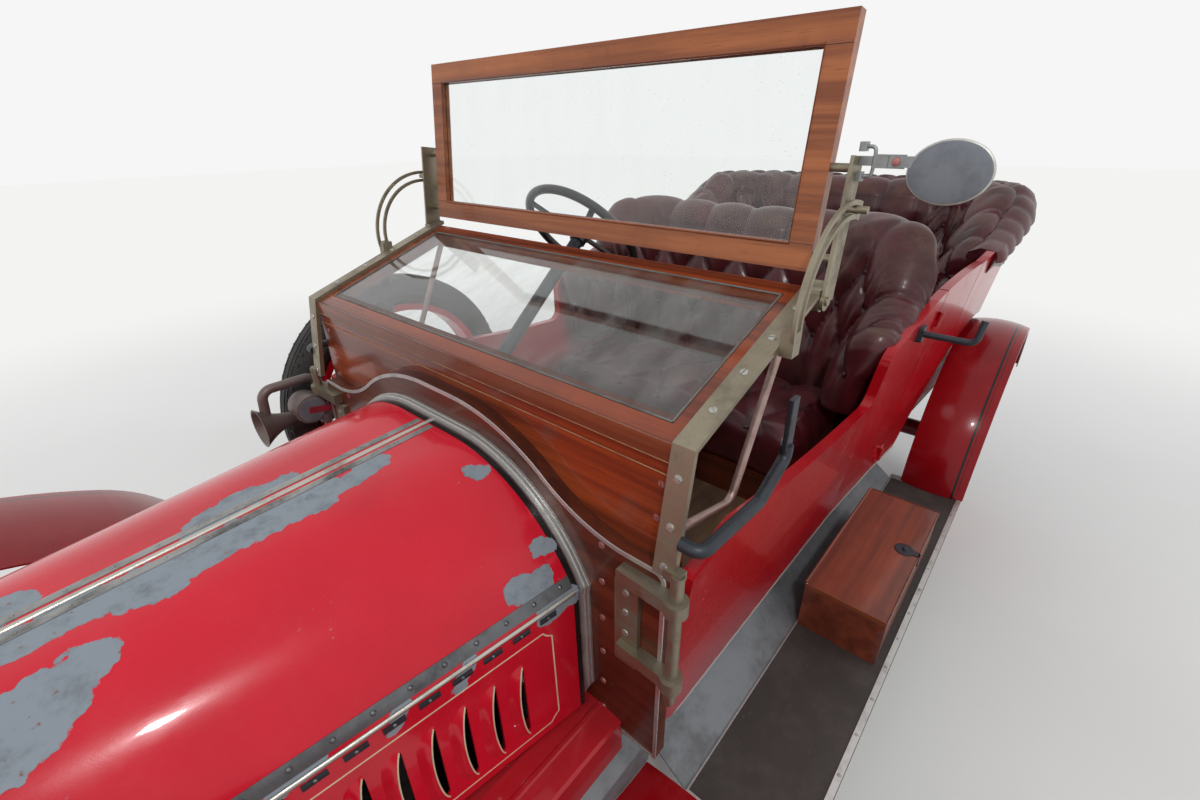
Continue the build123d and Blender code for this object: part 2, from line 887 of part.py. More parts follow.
def bonnet_top_face(x, crown_z, flat, shoulder_y, shoulder_z, side):
    """Closed section of one bonnet top: flat crown, then one arc to the shoulder."""
    inner = bonnet_sheet
    start = centre_hinge_gap / 2
    with BuildSketch(Plane.YZ.offset(x)) as section:
        with BuildLine():
            Line((side * start, crown_z), (side * flat, crown_z))
            TangentArc((side * flat, crown_z), (side * shoulder_y, shoulder_z), tangent=(side, 0))
            Line((side * shoulder_y, shoulder_z), (side * (shoulder_y - inner), shoulder_z))
            TangentArc(
                (side * flat, crown_z - inner),
                (side * (shoulder_y - inner), shoulder_z),
                tangent=(side, 0),
            )
            Line((side * flat, crown_z - inner), (side * start, crown_z - inner))
            Line((side * start, crown_z - inner), (side * start, crown_z))
        make_face()
    return section.sketch


def bonnet_side_face(x, crown_z, flat, shoulder_y, shoulder_z, side):
    """Closed section of one bonnet side: a straight sheet down from the shoulder."""
    with BuildSketch(Plane.YZ.offset(x)) as section:
        with BuildLine():
            Polyline(
                (side * shoulder_y, shoulder_z - shoulder_gap),
                (side * (shoulder_y + shoulder_flare), bonnet_bottom),
                (side * (shoulder_y + shoulder_flare - bonnet_sheet), bonnet_bottom),
                (side * (shoulder_y - bonnet_sheet), shoulder_z - shoulder_gap),
                close=True,
            )
        make_face()
    return section.sketch


def hinge_line(side):
    """Rear and front ends of the centre hinge (side 0) or of one shoulder hinge."""
    ends = []
    for x, crown_z, flat, shoulder_y, shoulder_z in bonnet_sections:
        if side == 0:
            ends.append(Vector(x, 0, crown_z - bonnet_sheet / 2))
        else:
            ends.append(Vector(x, side * (shoulder_y - bonnet_sheet / 2), shoulder_z - shoulder_gap))
    return ends


centre_rear, centre_front = hinge_line(0)
centre_run = centre_front - centre_rear
rear_reach = (bonnet_rear - firewall_front - 2 * hinge_fit) / centre_run.X
front_reach = (radiator_rear - bonnet_front - 2 * hinge_fit) / centre_run.X
with BuildPart() as bonnet_rod:
    with BuildSketch(Plane(origin=centre_rear - centre_run * rear_reach, z_dir=centre_run)):
        Circle(hinge_radius)
    extrude(amount=centre_run.length * (rear_reach + 1 + front_reach))
bonnet_rod.part.label = "bonnet_rod"
export_step(bonnet_rod.part, "parts/bonnet_rod.step")

bonnet_taper = (bonnet_sections[1][3] - bonnet_sections[0][3]) / (bonnet_front - bonnet_rear)
for name, side in SIDES:
    with BuildPart() as bonnet_top:
        for section in bonnet_sections:
            add(bonnet_top_face(*section, side))
        loft(ruled=True)
    bonnet_top.part.label = f"bonnet_top_{name}"
    export_step(bonnet_top.part, f"parts/bonnet_top_{name}.step")

    with BuildPart() as bonnet_side:
        for section in bonnet_sections:
            add(bonnet_side_face(*section, side))
        loft(ruled=True)
        hinge_rear, hinge_front = hinge_line(side)
        hinge_run = hinge_front - hinge_rear
        with BuildSketch(Plane(origin=hinge_rear, z_dir=hinge_run)):
            Circle(shoulder_gap - hinge_fit)
        extrude(amount=hinge_run.length)
        for number in range(louvre_count):
            slot_x = louvre_first + number * louvre_pitch
            slot_y = bonnet_sections[0][3] + bonnet_taper * (slot_x - bonnet_rear)
            middle_z = (louvre_bottom + louvre_top) / 2
            with BuildSketch(Plane.XZ.offset(-side * slot_y)):
                with Locations((slot_x, middle_z)):
                    SlotOverall(louvre_top - louvre_bottom, louvre_width, rotation=90)
            extrude(amount=24, both=True, mode=Mode.SUBTRACT)
    bonnet_side.part.label = f"bonnet_side_{name}"
    export_step(bonnet_side.part, f"parts/bonnet_side_{name}.step")

# Firewall: ogee top edge, straight sides
with BuildPart() as firewall:
    with BuildSketch(Plane.YZ.offset(firewall_front - firewall_thickness)):
        with BuildLine():
            leg = rail_y + rail_width / 2 + seat_gap
            Line((-leg, rail_top), (leg, rail_top))
            for side in (1, -1):
                Line((side * leg, rail_top), (side * leg, firewall_bottom))
                Line((side * leg, firewall_bottom), (side * firewall_half, firewall_bottom))
                edge = [(side * y, z) for y, z in firewall_edge]
                Line((side * firewall_half, firewall_bottom), (side * firewall_half, firewall_shoulder))
                ThreePointArc((side * firewall_half, firewall_shoulder), edge[0], edge[1])
                Line(edge[1], edge[2])
                ThreePointArc(*edge[2:5])
                ThreePointArc(*edge[4:7])
            crest_half, crest_z = firewall_edge[-1]
            Line((crest_half, crest_z), (-crest_half, crest_z))
        make_face()
    extrude(amount=firewall_thickness)
    tilt = radians(column_tilt)
    with BuildSketch(
        Plane(
            origin=(steering_wheel_x, column_y, steering_wheel_z),
            x_dir=(0, 1, 0),
            z_dir=(cos(tilt), 0, -sin(tilt)),
        )
    ):
        Circle(column_radius + column_hole_gap)
    extrude(amount=1200, mode=Mode.SUBTRACT)
firewall.part.label = "firewall"
export_step(firewall.part, "parts/firewall.step")

# Scuttle box: front board, two sloping side rails and a rear rail
scuttle_front_x = firewall_front - firewall_thickness
slope = (scuttle_rear_top - scuttle_front_top) / (scuttle_front_x - scuttle_rear_x)
with BuildPart() as scuttle_box:
    with BuildSketch(Plane.YZ.offset(scuttle_front_x - scuttle_board)):
        board_height = scuttle_front_top - board_below_rail - scuttle_bottom
        with Locations((0, scuttle_bottom + board_height / 2)):
            Rectangle(2 * scuttle_half, board_height)
    extrude(amount=scuttle_board)
    with BuildSketch(Plane.XZ.offset(-scuttle_half)):
        with BuildLine():
            Polyline(
                (scuttle_front_x, scuttle_front_top - scuttle_rail[1] - rail_deeper),
                (scuttle_front_x, scuttle_front_top),
                (scuttle_rear_x, scuttle_rear_top),
                (scuttle_rear_x, scuttle_rear_top - scuttle_rail[1] - rail_deeper),
                close=True,
            )
        make_face()
    extrude(amount=2 * scuttle_half)
    with BuildSketch(Plane.XY.offset(scuttle_bottom)):
        with Locations(((scuttle_front_x + scuttle_rear_x) / 2 - 4, 0)):
            Rectangle(
                scuttle_front_x - scuttle_rear_x - 2 * scuttle_rail[0],
                2 * (scuttle_half - scuttle_rail[0]),
            )
    extrude(amount=600, mode=Mode.SUBTRACT)
    with BuildSketch(Plane.XZ.offset(-(scuttle_half - scuttle_rail[0] + pane_lap))):
        with BuildLine():
            Polyline(
                (scuttle_front_x - pane_frame, scuttle_front_top + pane_frame * slope - pane_thickness),
                (scuttle_front_x - pane_frame, scuttle_front_top + pane_opening),
                (scuttle_rear_x + pane_frame, scuttle_rear_top + pane_opening),
                (scuttle_rear_x + pane_frame, scuttle_rear_top - pane_frame * slope - pane_thickness),
                close=True,
            )
        make_face()
    extrude(amount=2 * (scuttle_half - scuttle_rail[0] + pane_lap), mode=Mode.SUBTRACT)
scuttle_box.part.label = "scuttle_box"
export_step(scuttle_box.part, "parts/scuttle_box.step")

pane_half = scuttle_half - scuttle_rail[0] + pane_lap - pane_gap
pane_inset = pane_frame + pane_gap
with BuildPart() as scuttle_pane:
    with BuildSketch(Plane.XZ.offset(-pane_half)):
        with BuildLine():
            Polyline(
                (scuttle_front_x - pane_inset, scuttle_front_top + pane_inset * slope - pane_thickness),
                (scuttle_front_x - pane_inset, scuttle_front_top + pane_inset * slope - pane_gap),
                (scuttle_rear_x + pane_inset, scuttle_rear_top - pane_inset * slope - pane_gap),
                (scuttle_rear_x + pane_inset, scuttle_rear_top - pane_inset * slope - pane_thickness),
                close=True,
            )
        make_face()
    extrude(amount=2 * pane_half)
scuttle_pane.part.label = "scuttle_pane"
export_step(scuttle_pane.part, "parts/scuttle_pane.step")

# Folding screen: a wooden frame that leans back, its pane, and arms to the pivot
lean = radians(screen_lean)
screen_up = Vector(-sin(lean), 0, cos(lean))
screen_back = Vector(-cos(lean), 0, -sin(lean))
pivot = Vector(pivot_x, 0, pivot_z)
screen_plane = Plane(
    origin=pivot + screen_back * screen_offset, x_dir=(0, 1, 0), z_dir=screen_back * -1
)
screen_height = screen_top - screen_bottom
screen_middle = (screen_top + screen_bottom) / 2
with BuildPart() as screen_frame:
    with BuildSketch(screen_plane):
        with Locations((0, screen_middle)):
            Rectangle(2 * screen_half, screen_height)
            Rectangle(2 * (screen_half - screen_rail), screen_height - 2 * screen_rail, mode=Mode.SUBTRACT)
    extrude(amount=screen_depth / 2, both=True)
    with BuildSketch(screen_plane):
        with Locations((0, screen_middle)):
            Rectangle(
                2 * (screen_half - screen_rail + screen_groove),
                screen_height - 2 * (screen_rail - screen_groove),
            )
    extrude(amount=screen_pane / 2, both=True, mode=Mode.SUBTRACT)
screen_frame.part.label = "screen_frame"
export_step(screen_frame.part, "parts/screen_frame.step")

with BuildPart() as screen_glass:
    with BuildSketch(screen_plane):
        with Locations((0, screen_middle)):
            Rectangle(
                2 * (screen_half - screen_rail + screen_groove - seat_gap),
                screen_height - 2 * (screen_rail - screen_groove + seat_gap),
            )
    extrude(amount=screen_pane / 2, both=True)
screen_glass.part.label = "screen_pane"
export_step(screen_glass.part, "parts/screen_pane.step")

stud_z = (slot_inner + slot_outer) / 2
with BuildPart() as screen_arms:
    for side in (1, -1):
        arm_plane = Plane(
            origin=pivot + Vector(0, side * arm_y, 0),
            x_dir=screen_back * side,
            z_dir=(0, side, 0),
        )
        edge = screen_arm[0] / 2
        with BuildSketch(arm_plane):
            with Locations((side * screen_offset / 2, screen_arm_top / 2)):
                Rectangle(screen_arm[0] + screen_offset, screen_arm_top)
            Circle(edge + 2)
            Circle(pivot_radius + running_gap, mode=Mode.SUBTRACT)
        extrude(amount=screen_arm[1])
        with BuildSketch(arm_plane):
            with Locations((0, stud_z)):
                Circle(stud_radius)
        extrude(amount=quadrant_y + quadrant_thickness + stud_end - arm_y)
        with BuildSketch(arm_plane):
            with Locations(*[(side * screen_offset, height) for height in spacer_heights]):
                Circle(spacer_radius)
        extrude(amount=screen_half - arm_y)
screen_arms.part.label = "screen_arms"
export_step(screen_arms.part, "parts/screen_arms.step")

with BuildPart() as mirror:
    with BuildSketch(Plane.YZ.offset(pivot_x - mirror_behind)):
        with Locations((mirror_y, mirror_z)):
            Ellipse(mirror_r[0], mirror_r[1])
    extrude(amount=mirror_thickness)
    with BuildSketch(Plane.XZ.offset(-(arm_y + screen_arm[1]))):
        with Locations((pivot_x - mirror_stem[0], mirror_z)):
            Circle(mirror_stem[1])
    extrude(amount=-(mirror_y - mirror_r[0] - arm_y + mirror_lap))
mirror.part.label = "mirror"
export_step(mirror.part, "parts/mirror.step")

# Quadrants: slotted sectors about the pivot, one outside each pillar


def sector(low, high, start, end):
    """Ring sector about the screen's pivot between two radii and two angles."""
    angles = [radians(start), radians((start + end) / 2), radians(end)]
    with BuildSketch() as face:
        with BuildLine():
            outer_arc = ThreePointArc(
                *[(pivot_x + high * cos(a), pivot_z + high * sin(a)) for a in angles]
            )
            inner_arc = ThreePointArc(
                *[(pivot_x + low * cos(a), pivot_z + low * sin(a)) for a in reversed(angles)]
            )
            Line(outer_arc @ 1, inner_arc @ 0)
            Line(inner_arc @ 1, outer_arc @ 0)
        make_face()
    return face.sketch


pillar_outer = pillar_y + pillar_width / 2 - 1
with BuildPart() as screen_quadrants:
    for side in (1, -1):
        with BuildSketch(Plane.XZ.offset(-side * quadrant_y)):
            add(sector(quadrant_inner, quadrant_outer, quadrant_low, quadrant_high))
            add(sector(slot_inner, slot_outer, quadrant_low + 5, quadrant_high - 5), mode=Mode.SUBTRACT)
        extrude(amount=-side * quadrant_thickness)
        with BuildSketch(Plane.XZ.offset(-side * pillar_outer)):
            with Locations(quadrant_lug):
                Rectangle(28, 40)
        extrude(amount=-side * (quadrant_y + quadrant_thickness - pillar_outer))
screen_quadrants.part.label = "screen_quadrants"
export_step(screen_quadrants.part, "parts/screen_quadrants.step")

# Pillars: a strip down the slope and the front, then a round rod with a pointed end
strip_top = (pivot_x - 22, scuttle_rear_top + (scuttle_rear_x - pivot_x + 22) * slope)
strip_corner = (scuttle_front_x, scuttle_front_top)
with BuildPart() as screen_pillars:
    for side in (1, -1):
        with BuildSketch(Plane.XZ.offset(-side * (pillar_y - pillar_width / 2 + 1))):
            with BuildLine():
                Polyline(
                    strip_top,
                    strip_corner,
                    (bracket_rod_x - 8, strip_foot),
                    (bracket_rod_x + 4, strip_foot),
                    (strip_corner[0] + pillar_thickness, strip_corner[1] + 6),
                    (strip_top[0], strip_top[1] + pillar_thickness + 1),
                    close=True,
                )
            make_face()
        extrude(amount=-side * (pillar_width - 2))
        with BuildSketch(Plane.XZ.offset(-side * (scuttle_half + seat_gap))):
            with Locations((pivot_x, pivot_z)):
                Circle(20)
            with Locations((pivot_x, pivot_z + 10)):
                Rectangle(40, 24)
        extrude(amount=-side * (pillar_outer - scuttle_half - seat_gap))
        with BuildSketch(Plane.XZ.offset(-side * pillar_outer)):
            with Locations((pivot_x, pivot_z)):
                Circle(pivot_radius)
        extrude(amount=-side * (arm_y + screen_arm[1] + 4 - pillar_outer))
        with BuildSketch(Plane.XY.offset(rod_foot)):
            with Locations((bracket_rod_x, side * rod_y)):
                Circle(pillar_rod_radius)
        extrude(amount=strip_foot + 14 - rod_foot)
        with BuildSketch(Plane.XY.offset(strip_foot)):
            with Locations((bracket_rod_x - 3, side * (rod_y - 8))):
                Rectangle(20, 30)
        extrude(amount=18)
        with BuildSketch(Plane.XY.offset(rod_foot)):
            with Locations((bracket_rod_x, side * rod_y)):
                Circle(pillar_rod_radius)
        extrude(amount=-18, taper=24)
screen_pillars.part.label = "screen_pillars"
export_step(screen_pillars.part, "parts/screen_pillars.step")

with BuildPart() as pillar_brackets:
    for side in (1, -1):
        with BuildSketch(Plane.YZ.offset(firewall_front)):
            with Locations((side * bracket_plate_y, bracket_z)):
                RectangleRounded(bracket_plate[0], bracket_plate[1], 8)
        extrude(amount=bracket_plate[2])
        for eye_height in eye_heights:
            with BuildSketch(Plane.XY.offset(eye_height - 13)):
                with BuildLine():
                    Polyline(
                        (firewall_front, side * (bracket_plate_y - 12)),
                        (firewall_front + 22, side * (bracket_plate_y - 12)),
                        (bracket_rod_x + 14, side * rod_y),
                        (bracket_rod_x - 8, side * rod_y),
                        (firewall_front, side * (firewall_half + 2)),
                        close=True,
                    )
                make_face()
                with Locations((bracket_rod_x, side * rod_y)):
                    Circle(pillar_rod_radius + 9)
                    Circle(pillar_rod_radius + running_gap, mode=Mode.SUBTRACT)
            extrude(amount=26)
pillar_brackets.part.label = "pillar_brackets"
export_step(pillar_brackets.part, "parts/pillar_brackets.step")


def bent_rod(points, bend, radius):
    """Round rod along straight runs joined by arcs."""
    with BuildPart() as rod:
        with BuildLine() as route:
            FilletPolyline(*points, radius=bend)
        with BuildSketch(Plane(origin=route.line @ 0, z_dir=route.line % 0)):
            Circle(radius)
        sweep(path=route.line)
    return rod.part


# Stays from the pillar tops to the scuttle board
with BuildPart() as screen_stays:
    for side in (1, -1):
        add(
            bent_rod(
                [
                    (stay_top[0], side * stay_y, stay_top[1]),
                    (stay_knee[0], side * stay_y, stay_knee[1]),
                    (stay_foot[0], side * stay_y, stay_foot[1]),
                ],
                stay_bend,
                stay_radius,
            )
        )
screen_stays.part.label = "screen_stays"
export_step(screen_stays.part, "parts/screen_stays.step")

# Side-lamp irons with their flat spades, the lamps missing
with BuildPart() as lamp_irons:
    for side in (1, -1):
        add(
            bent_rod(
                [
                    (iron_root[0], side * pillar_outer, iron_root[1]),
                    (iron_root[0], side * (iron_y - 4), iron_root[1]),
                    (iron_knee[0], side * iron_y, iron_knee[1]),
                    (spade_x, side * iron_y, iron_shoulder),
                    (spade_x, side * iron_y, spade_low),
                ],
                iron_bend,
                iron_radius,
            )
        )
        with BuildSketch(Plane.XY.offset(spade_low - 4)):
            with Locations((spade_x, side * iron_y)):
                RectangleRounded(spade_size[0], spade_size[1], 2)
        extrude(amount=spade_size[2])
lamp_irons.part.label = "lamp_irons"
export_step(lamp_irons.part, "parts/lamp_irons.step")

# Running boards; the right one has the chocks that hold the spare
board_bottom = board_top - board_thickness
with BuildPart() as running_boards:
    for side in (1, -1):
        with BuildSketch(Plane.XY.offset(board_bottom)):
            with Locations(((board_front + board_rear) / 2, side * (board_inner + board_outer) / 2)):
                Rectangle(board_front - board_rear, board_outer - board_inner)
        extrude(amount=board_thickness)
    for end in (-1, 1):
        with BuildSketch(Plane.XZ.offset(-(spare_y - chock[2] / 2))):
            with Locations((spare_x + end * chock[0], board_top + chock[1] / 2)):
                Rectangle(60, chock[1])
            with Locations((spare_x, spare_z)):
                Circle(tyre_radius + spare_clear, mode=Mode.SUBTRACT)
        extrude(amount=-chock[2])
running_boards.part.label = "running_boards"
export_step(running_boards.part, "parts/running_boards.step")

# Arms from the rails that carry the boards
with BuildPart() as board_irons:
    for side in (1, -1):
        for arm_x in board_arms:
            with BuildSketch(Plane.YZ.offset(arm_x)):
                with BuildLine():
                    Polyline(
                        (side * (rail_y + rail_width / 2), rail_bottom + 60),
                        (side * (board_inner - 6), board_bottom),
                        (side * (board_outer - 20), board_bottom),
                        (side * (board_outer - 20), board_bottom - 10),
                        (side * (board_inner - 20), board_bottom - 16),
                        (side * (rail_y + rail_width / 2), rail_bottom + 10),
                        close=True,
                    )
                make_face()
            extrude(amount=board_arm_half, both=True)
board_irons.part.label = "board_irons"
export_step(board_irons.part, "parts/board_irons.step")

with BuildPart() as aprons:
    rail_outer = rail_y + rail_width / 2
    for side in (1, -1):
        with BuildSketch(Plane.YZ.offset(apron_rear)):
            with BuildLine():
                Polyline(
                    (side * rail_outer, apron_top),
                    (side * board_inner, board_top + apron_sheet),
                    (side * apron_foot, board_top + apron_sheet),
                    (side * apron_foot, board_top),
                    (side * (board_inner - 2), board_top),
                    (side * rail_outer, apron_top - apron_sheet - 1),
                    close=True,
                )
            make_face()
        extrude(amount=apron_front - apron_rear)
aprons.part.label = "aprons"
export_step(aprons.part, "parts/aprons.step")

# Toolbox on the left board and its lid, hinged along the inner edge
toolbox_middle = ((toolbox_front + toolbox_rear) / 2, (toolbox_inner + toolbox_outer) / 2)
toolbox_length = toolbox_front - toolbox_rear
toolbox_width = toolbox_outer - toolbox_inner
box_height = toolbox_height - lid_thickness - lid_gap
with BuildPart() as toolbox:
    with BuildSketch(Plane.XY.offset(board_top)):
        with Locations(toolbox_middle):
            Rectangle(toolbox_length, toolbox_width)
    extrude(amount=box_height)
    with BuildSketch(Plane.XY.offset(board_top + toolbox_wall)):
        with Locations(toolbox_middle):
            Rectangle(toolbox_length - 2 * toolbox_wall, toolbox_width - 2 * toolbox_wall)
    extrude(amount=box_height, mode=Mode.SUBTRACT)
toolbox.part.label = "toolbox"
export_step(toolbox.part, "parts/toolbox.step")

with BuildPart() as toolbox_lid:
    with BuildSketch(Plane.XY.offset(board_top + box_height + lid_gap)):
        with Locations(toolbox_middle):
            Rectangle(toolbox_length + 8, toolbox_width)
    extrude(amount=lid_thickness)
    fillet(toolbox_lid.edges().group_by(Axis.Z)[-1], radius=4)
    with BuildSketch(Plane.YZ.offset(toolbox_rear)):
        with Locations((toolbox_inner, board_top + toolbox_height)):
            Circle(lid_barrel)
    extrude(amount=toolbox_length)
toolbox_lid.part.label = "toolbox_lid"
export_step(toolbox_lid.part, "parts/toolbox_lid.step")


def wing_section(plane, width, side):
    """Crowned wing section, its outer face on the path and a lip at its outer edge."""
    outer = side * width / 2
    lip = side * (width / 2 - wing_sheet)
    with BuildSketch(plane) as section:
        with BuildLine():
            ThreePointArc((-outer, 0), (0, -wing_crown), (outer, 0))
            Line((outer, 0), (outer, wing_lip))
            Line((outer, wing_lip), (lip, wing_lip))
            Line((lip, wing_lip), (lip, wing_sheet))
            ThreePointArc((lip, wing_sheet), (0, wing_sheet - wing_crown), (-lip, wing_sheet))
            Line((-lip, wing_sheet), (-outer, wing_sheet))
            Line((-outer, wing_sheet), (-outer, 0))
        make_face()
    return section.sketch


# Front wings: an arc over the wheel, a long sweep back and a curve onto the board
with BuildPart() as front_wings:
    for side in (1, -1):
        middle_y = side * (wing_inner + wing_outer) / 2
        with BuildLine(Plane.XZ.offset(-middle_y)) as route:
            over = CenterArc(
                (front_axle_x, tyre_radius), front_wing_radius, front_wing_start, 90 - front_wing_start
            )
            back = JernArc(over @ 1, (-1, 0), sweep_radius, sweep_turn)
            steep = JernArc(back @ 1, back % 1, steep_radius, steep_turn)
            drop = sweep_turn + steep_turn
            level = board_top + wing_sheet
            run_end = level + foot_radius * (1 - cos(radians(drop)))
            run_length = ((steep @ 1).Z - run_end) / sin(radians(drop))
            run = Line(steep @ 1, (steep @ 1) + (steep % 1) * run_length)
            JernArc(run @ 1, run % 1, foot_radius, -drop)
        start = Plane(origin=route.line @ 0, x_dir=(0, 1, 0), z_dir=route.line % 0)
        add(wing_section(start, wing_outer - wing_inner, side))
        sweep(path=route.line)
front_wings.part.label = "front_wings"
export_step(front_wings.part, "parts/front_wings.step")

# Rear wings: one arc over the wheel, standing on the end of the board
rear_wing_foot = board_top + seat_gap - tyre_radius
rear_wing_start = degrees(asin(rear_wing_foot / (rear_wing_radius - wing_sheet)))
with BuildPart() as rear_wings:
    for side in (1, -1):
        middle_y = side * (rear_wing_inner + wing_outer) / 2
        with BuildLine(Plane.XZ.offset(-middle_y)) as route:
            CenterArc(
                (rear_axle_x, tyre_radius),
                rear_wing_radius,
                rear_wing_start,
                rear_wing_end - rear_wing_start,
            )
        start = Plane(origin=route.line @ 0, x_dir=(0, 1, 0), z_dir=route.line % 0)
        add(wing_section(start, wing_outer - rear_wing_inner, side))
        sweep(path=route.line)
rear_wings.part.label = "rear_wings"
export_step(rear_wings.part, "parts/rear_wings.step")


def body_face(inset):
    """Plan of the body at its bottom edge, a distance inside its outer face."""
    with BuildSketch() as face:
        with BuildLine():
            for side in (1, -1):
                row = [(x, side * (half - inset)) for x, half in body_plan]
                Polyline(*row)
                ThreePointArc(
                    row[-1],
                    (
                        body_tail + 0.32 * (body_plan[-1][0] - body_tail) + 0.7 * inset,
                        side * (tail_knee - inset),
                    ),
                    (body_tail + inset, side * (tail_half - 0.4 * inset)),
                )
            Line((body_tail + inset, tail_half - 0.4 * inset), (body_tail + inset, 0.4 * inset - tail_half))
            Line((body_plan[0][0], body_plan[0][1] - inset), (body_plan[0][0], inset - body_plan[0][1]))
        make_face()
    return face.sketch


# The body's wall: a flared prism inside a flared prism, cut by its side view
with BuildPart() as body_shell:
    with BuildSketch(Plane.XY.offset(body_bottom)):
        add(body_face(0))
    extrude(amount=body_height, taper=-body_flare)
    with BuildSketch(Plane.XY.offset(body_bottom)):
        add(body_face(body_wall))
    extrude(amount=body_height, taper=-body_flare, mode=Mode.SUBTRACT)
    with BuildSketch(Plane.XZ.offset(-1200)):
        with BuildLine():
            Line((body_front, cowl_foot), (body_front, cowl_rise))
            Line((body_front, cowl_rise), cowl)
            ThreePointArc(cowl, *elbow[:2])
            ThreePointArc(*elbow[1:])
            Line(elbow[-1], seat_side[0])
            ThreePointArc(*seat_side[:3])
            Line(*seat_side[2:])
            ThreePointArc(seat_side[-1], rear_edge[0], (door_rear, rear_edge[1]))
            ThreePointArc((door_rear, rear_edge[1]), *rear_edge[2:])
            Line(rear_edge[-1], (body_limit, rear_edge[-1][1]))
            Line((body_limit, rear_edge[-1][1]), (body_limit, body_bottom))
            arch_half = sqrt(body_arch**2 - (body_bottom - tyre_radius) ** 2)
            Line((body_limit, body_bottom), (rear_axle_x - arch_half, body_bottom))
            ThreePointArc(
                (rear_axle_x - arch_half, body_bottom),
                (rear_axle_x, tyre_radius + body_arch),
                (rear_axle_x + arch_half, body_bottom),
            )
            Line((rear_axle_x + arch_half, body_bottom), (cowl[0], body_bottom))
            ThreePointArc((cowl[0], body_bottom), sill_front, (body_front, cowl_foot))
        make_face()
    extrude(amount=2400, mode=Mode.INTERSECT)

# Inner panels beside the rear wheels and round the tail, from the floor up behind the arch
with BuildPart() as inner_panels:
    panel_rise = tyre_radius + body_arch + inner_panel_lap - body_bottom
    for inset, mode in ((body_wall, Mode.ADD), (body_wall + inner_panel, Mode.SUBTRACT)):
        with BuildSketch(Plane.XY.offset(body_bottom)):
            add(body_face(inset))
        extrude(amount=panel_rise, taper=-body_flare, mode=mode)
    with BuildSketch(Plane.XY.offset(floor_top)):
        with Locations((2 * body_tail, 0)):
            Rectangle(2 * (door_rear - door_gap / 2 - 2 * body_tail), 4 * firewall_half)
    extrude(amount=panel_rise, mode=Mode.INTERSECT)


def hinge_line_at(side):
    """Foot and direction of a door's hinge line, just outside the flared side."""
    foot_y = dict(body_plan)[door_front] + (hinge_barrel + seat_gap) / cos(radians(body_flare))
    foot = Vector(door_front, side * foot_y, body_bottom)
    return foot, Vector(0, side * sin(radians(body_flare)), cos(radians(body_flare)))


def hinge_half(side, reach, low, pinned):
    """Barrel and leaf of one half of both door hinges, with the pin or the pin's hole."""
    foot, along = hinge_line_at(side)
    with BuildPart() as half:
        for place in hinge_places:
            plane = Plane(origin=foot + along * (place + low), x_dir=(1, 0, 0), z_dir=along)
            with BuildSketch(plane):
                Circle(hinge_barrel)
                with Locations((reach / 2, -side * (hinge_barrel + 2 - hinge_leaf[1] / 2))):
                    Rectangle(abs(reach), hinge_leaf[1])
            extrude(amount=hinge_half_length)
            if pinned:
                with BuildSketch(plane):
                    Circle(hinge_pin)
                extrude(amount=2 * hinge_half_length)
            else:
                with BuildSketch(plane):
                    Circle(hinge_pin + running_gap)
                extrude(amount=hinge_half_length, mode=Mode.SUBTRACT)
    return half.part


body_pieces = (
    # name, low x, high x, low y, high y
    ("body_sides", door_front + door_gap / 2, body_front, -1000, 1000),
    ("door_left", door_rear + door_gap / 2, door_front - door_gap / 2, 0, 1000),
    ("door_right", door_rear + door_gap / 2, door_front - door_gap / 2, -1000, 0),
    ("body_rear", body_limit, door_rear - door_gap / 2, -1000, 1000),
)
for name, low_x, high_x, low_y, high_y in body_pieces:
    with BuildPart() as body_piece:
        add(body_shell.part)
        with BuildSketch(Plane.XY):
            with Locations(((low_x + high_x) / 2, (low_y + high_y) / 2)):
                Rectangle(high_x - low_x, high_y - low_y)
        extrude(amount=2000, mode=Mode.INTERSECT)
        if name == "body_rear":
            add(inner_panels.part)
        for side in (1, -1):
            if name == "body_sides":
                add(hinge_half(side, hinge_leaf[0], 0, True))
            elif low_y < side * 500 < high_y and name != "body_rear":
                add(hinge_half(side, -hinge_leaf[0], hinge_half_length + hinge_end_gap, False))
    body_piece.part.label = name
    export_step(body_piece.part, f"parts/{name}.step")

with BuildPart() as floor_boards:
    with BuildSketch(Plane.XY.offset(body_bottom)):
        add(body_face(body_wall + seat_gap))
    extrude(amount=floor_top - body_bottom, taper=-body_flare)
    with BuildSketch(Plane.XY.offset(rail_top)):
        with Locations(((body_tail * 2 + body_front) / 2, 0)):
            Rectangle(body_front - body_tail * 2, 4 * firewall_half)
    extrude(amount=floor_thickness, mode=Mode.INTERSECT)
floor_boards.part.label = "floor_boards"
export_step(floor_boards.part, "parts/floor_boards.step")

# Seat boxes, open underneath, with the panel behind the front seat
with BuildPart() as seat_boxes:
    for rear_x, front_x, half in (front_box, rear_box):
        with BuildSketch(Plane.XY.offset(floor_top)):
            with Locations(((rear_x + front_x) / 2, 0)):
                Rectangle(front_x - rear_x, 2 * half)
        extrude(amount=seat_box_top - floor_top)
        with BuildSketch(Plane.XY.offset(floor_top)):
            with Locations(((rear_x + front_x) / 2, 0)):
                Rectangle(front_x - rear_x - 2 * box_wall, 2 * half - 2 * box_wall)
        extrude(amount=seat_box_top - floor_top - box_wall, mode=Mode.SUBTRACT)
    with BuildSketch(Plane.XZ.offset(-panel_half)):
        with BuildLine():
            Polyline(
                (front_box[0], floor_top),
                (front_box[0], seat_box_top),
                (back_rear_x - seat_gap - (panel_top - seat_box_top) * tan(radians(seat_rake)), panel_top),
                (back_rear_x - 20 - (panel_top - seat_box_top) * tan(radians(seat_rake)), panel_top),
                (front_box[0] - 26, floor_top),
                close=True,
            )
        make_face()
    extrude(amount=2 * panel_half)
seat_boxes.part.label = "seat_boxes"
export_step(seat_boxes.part, "parts/seat_boxes.step")

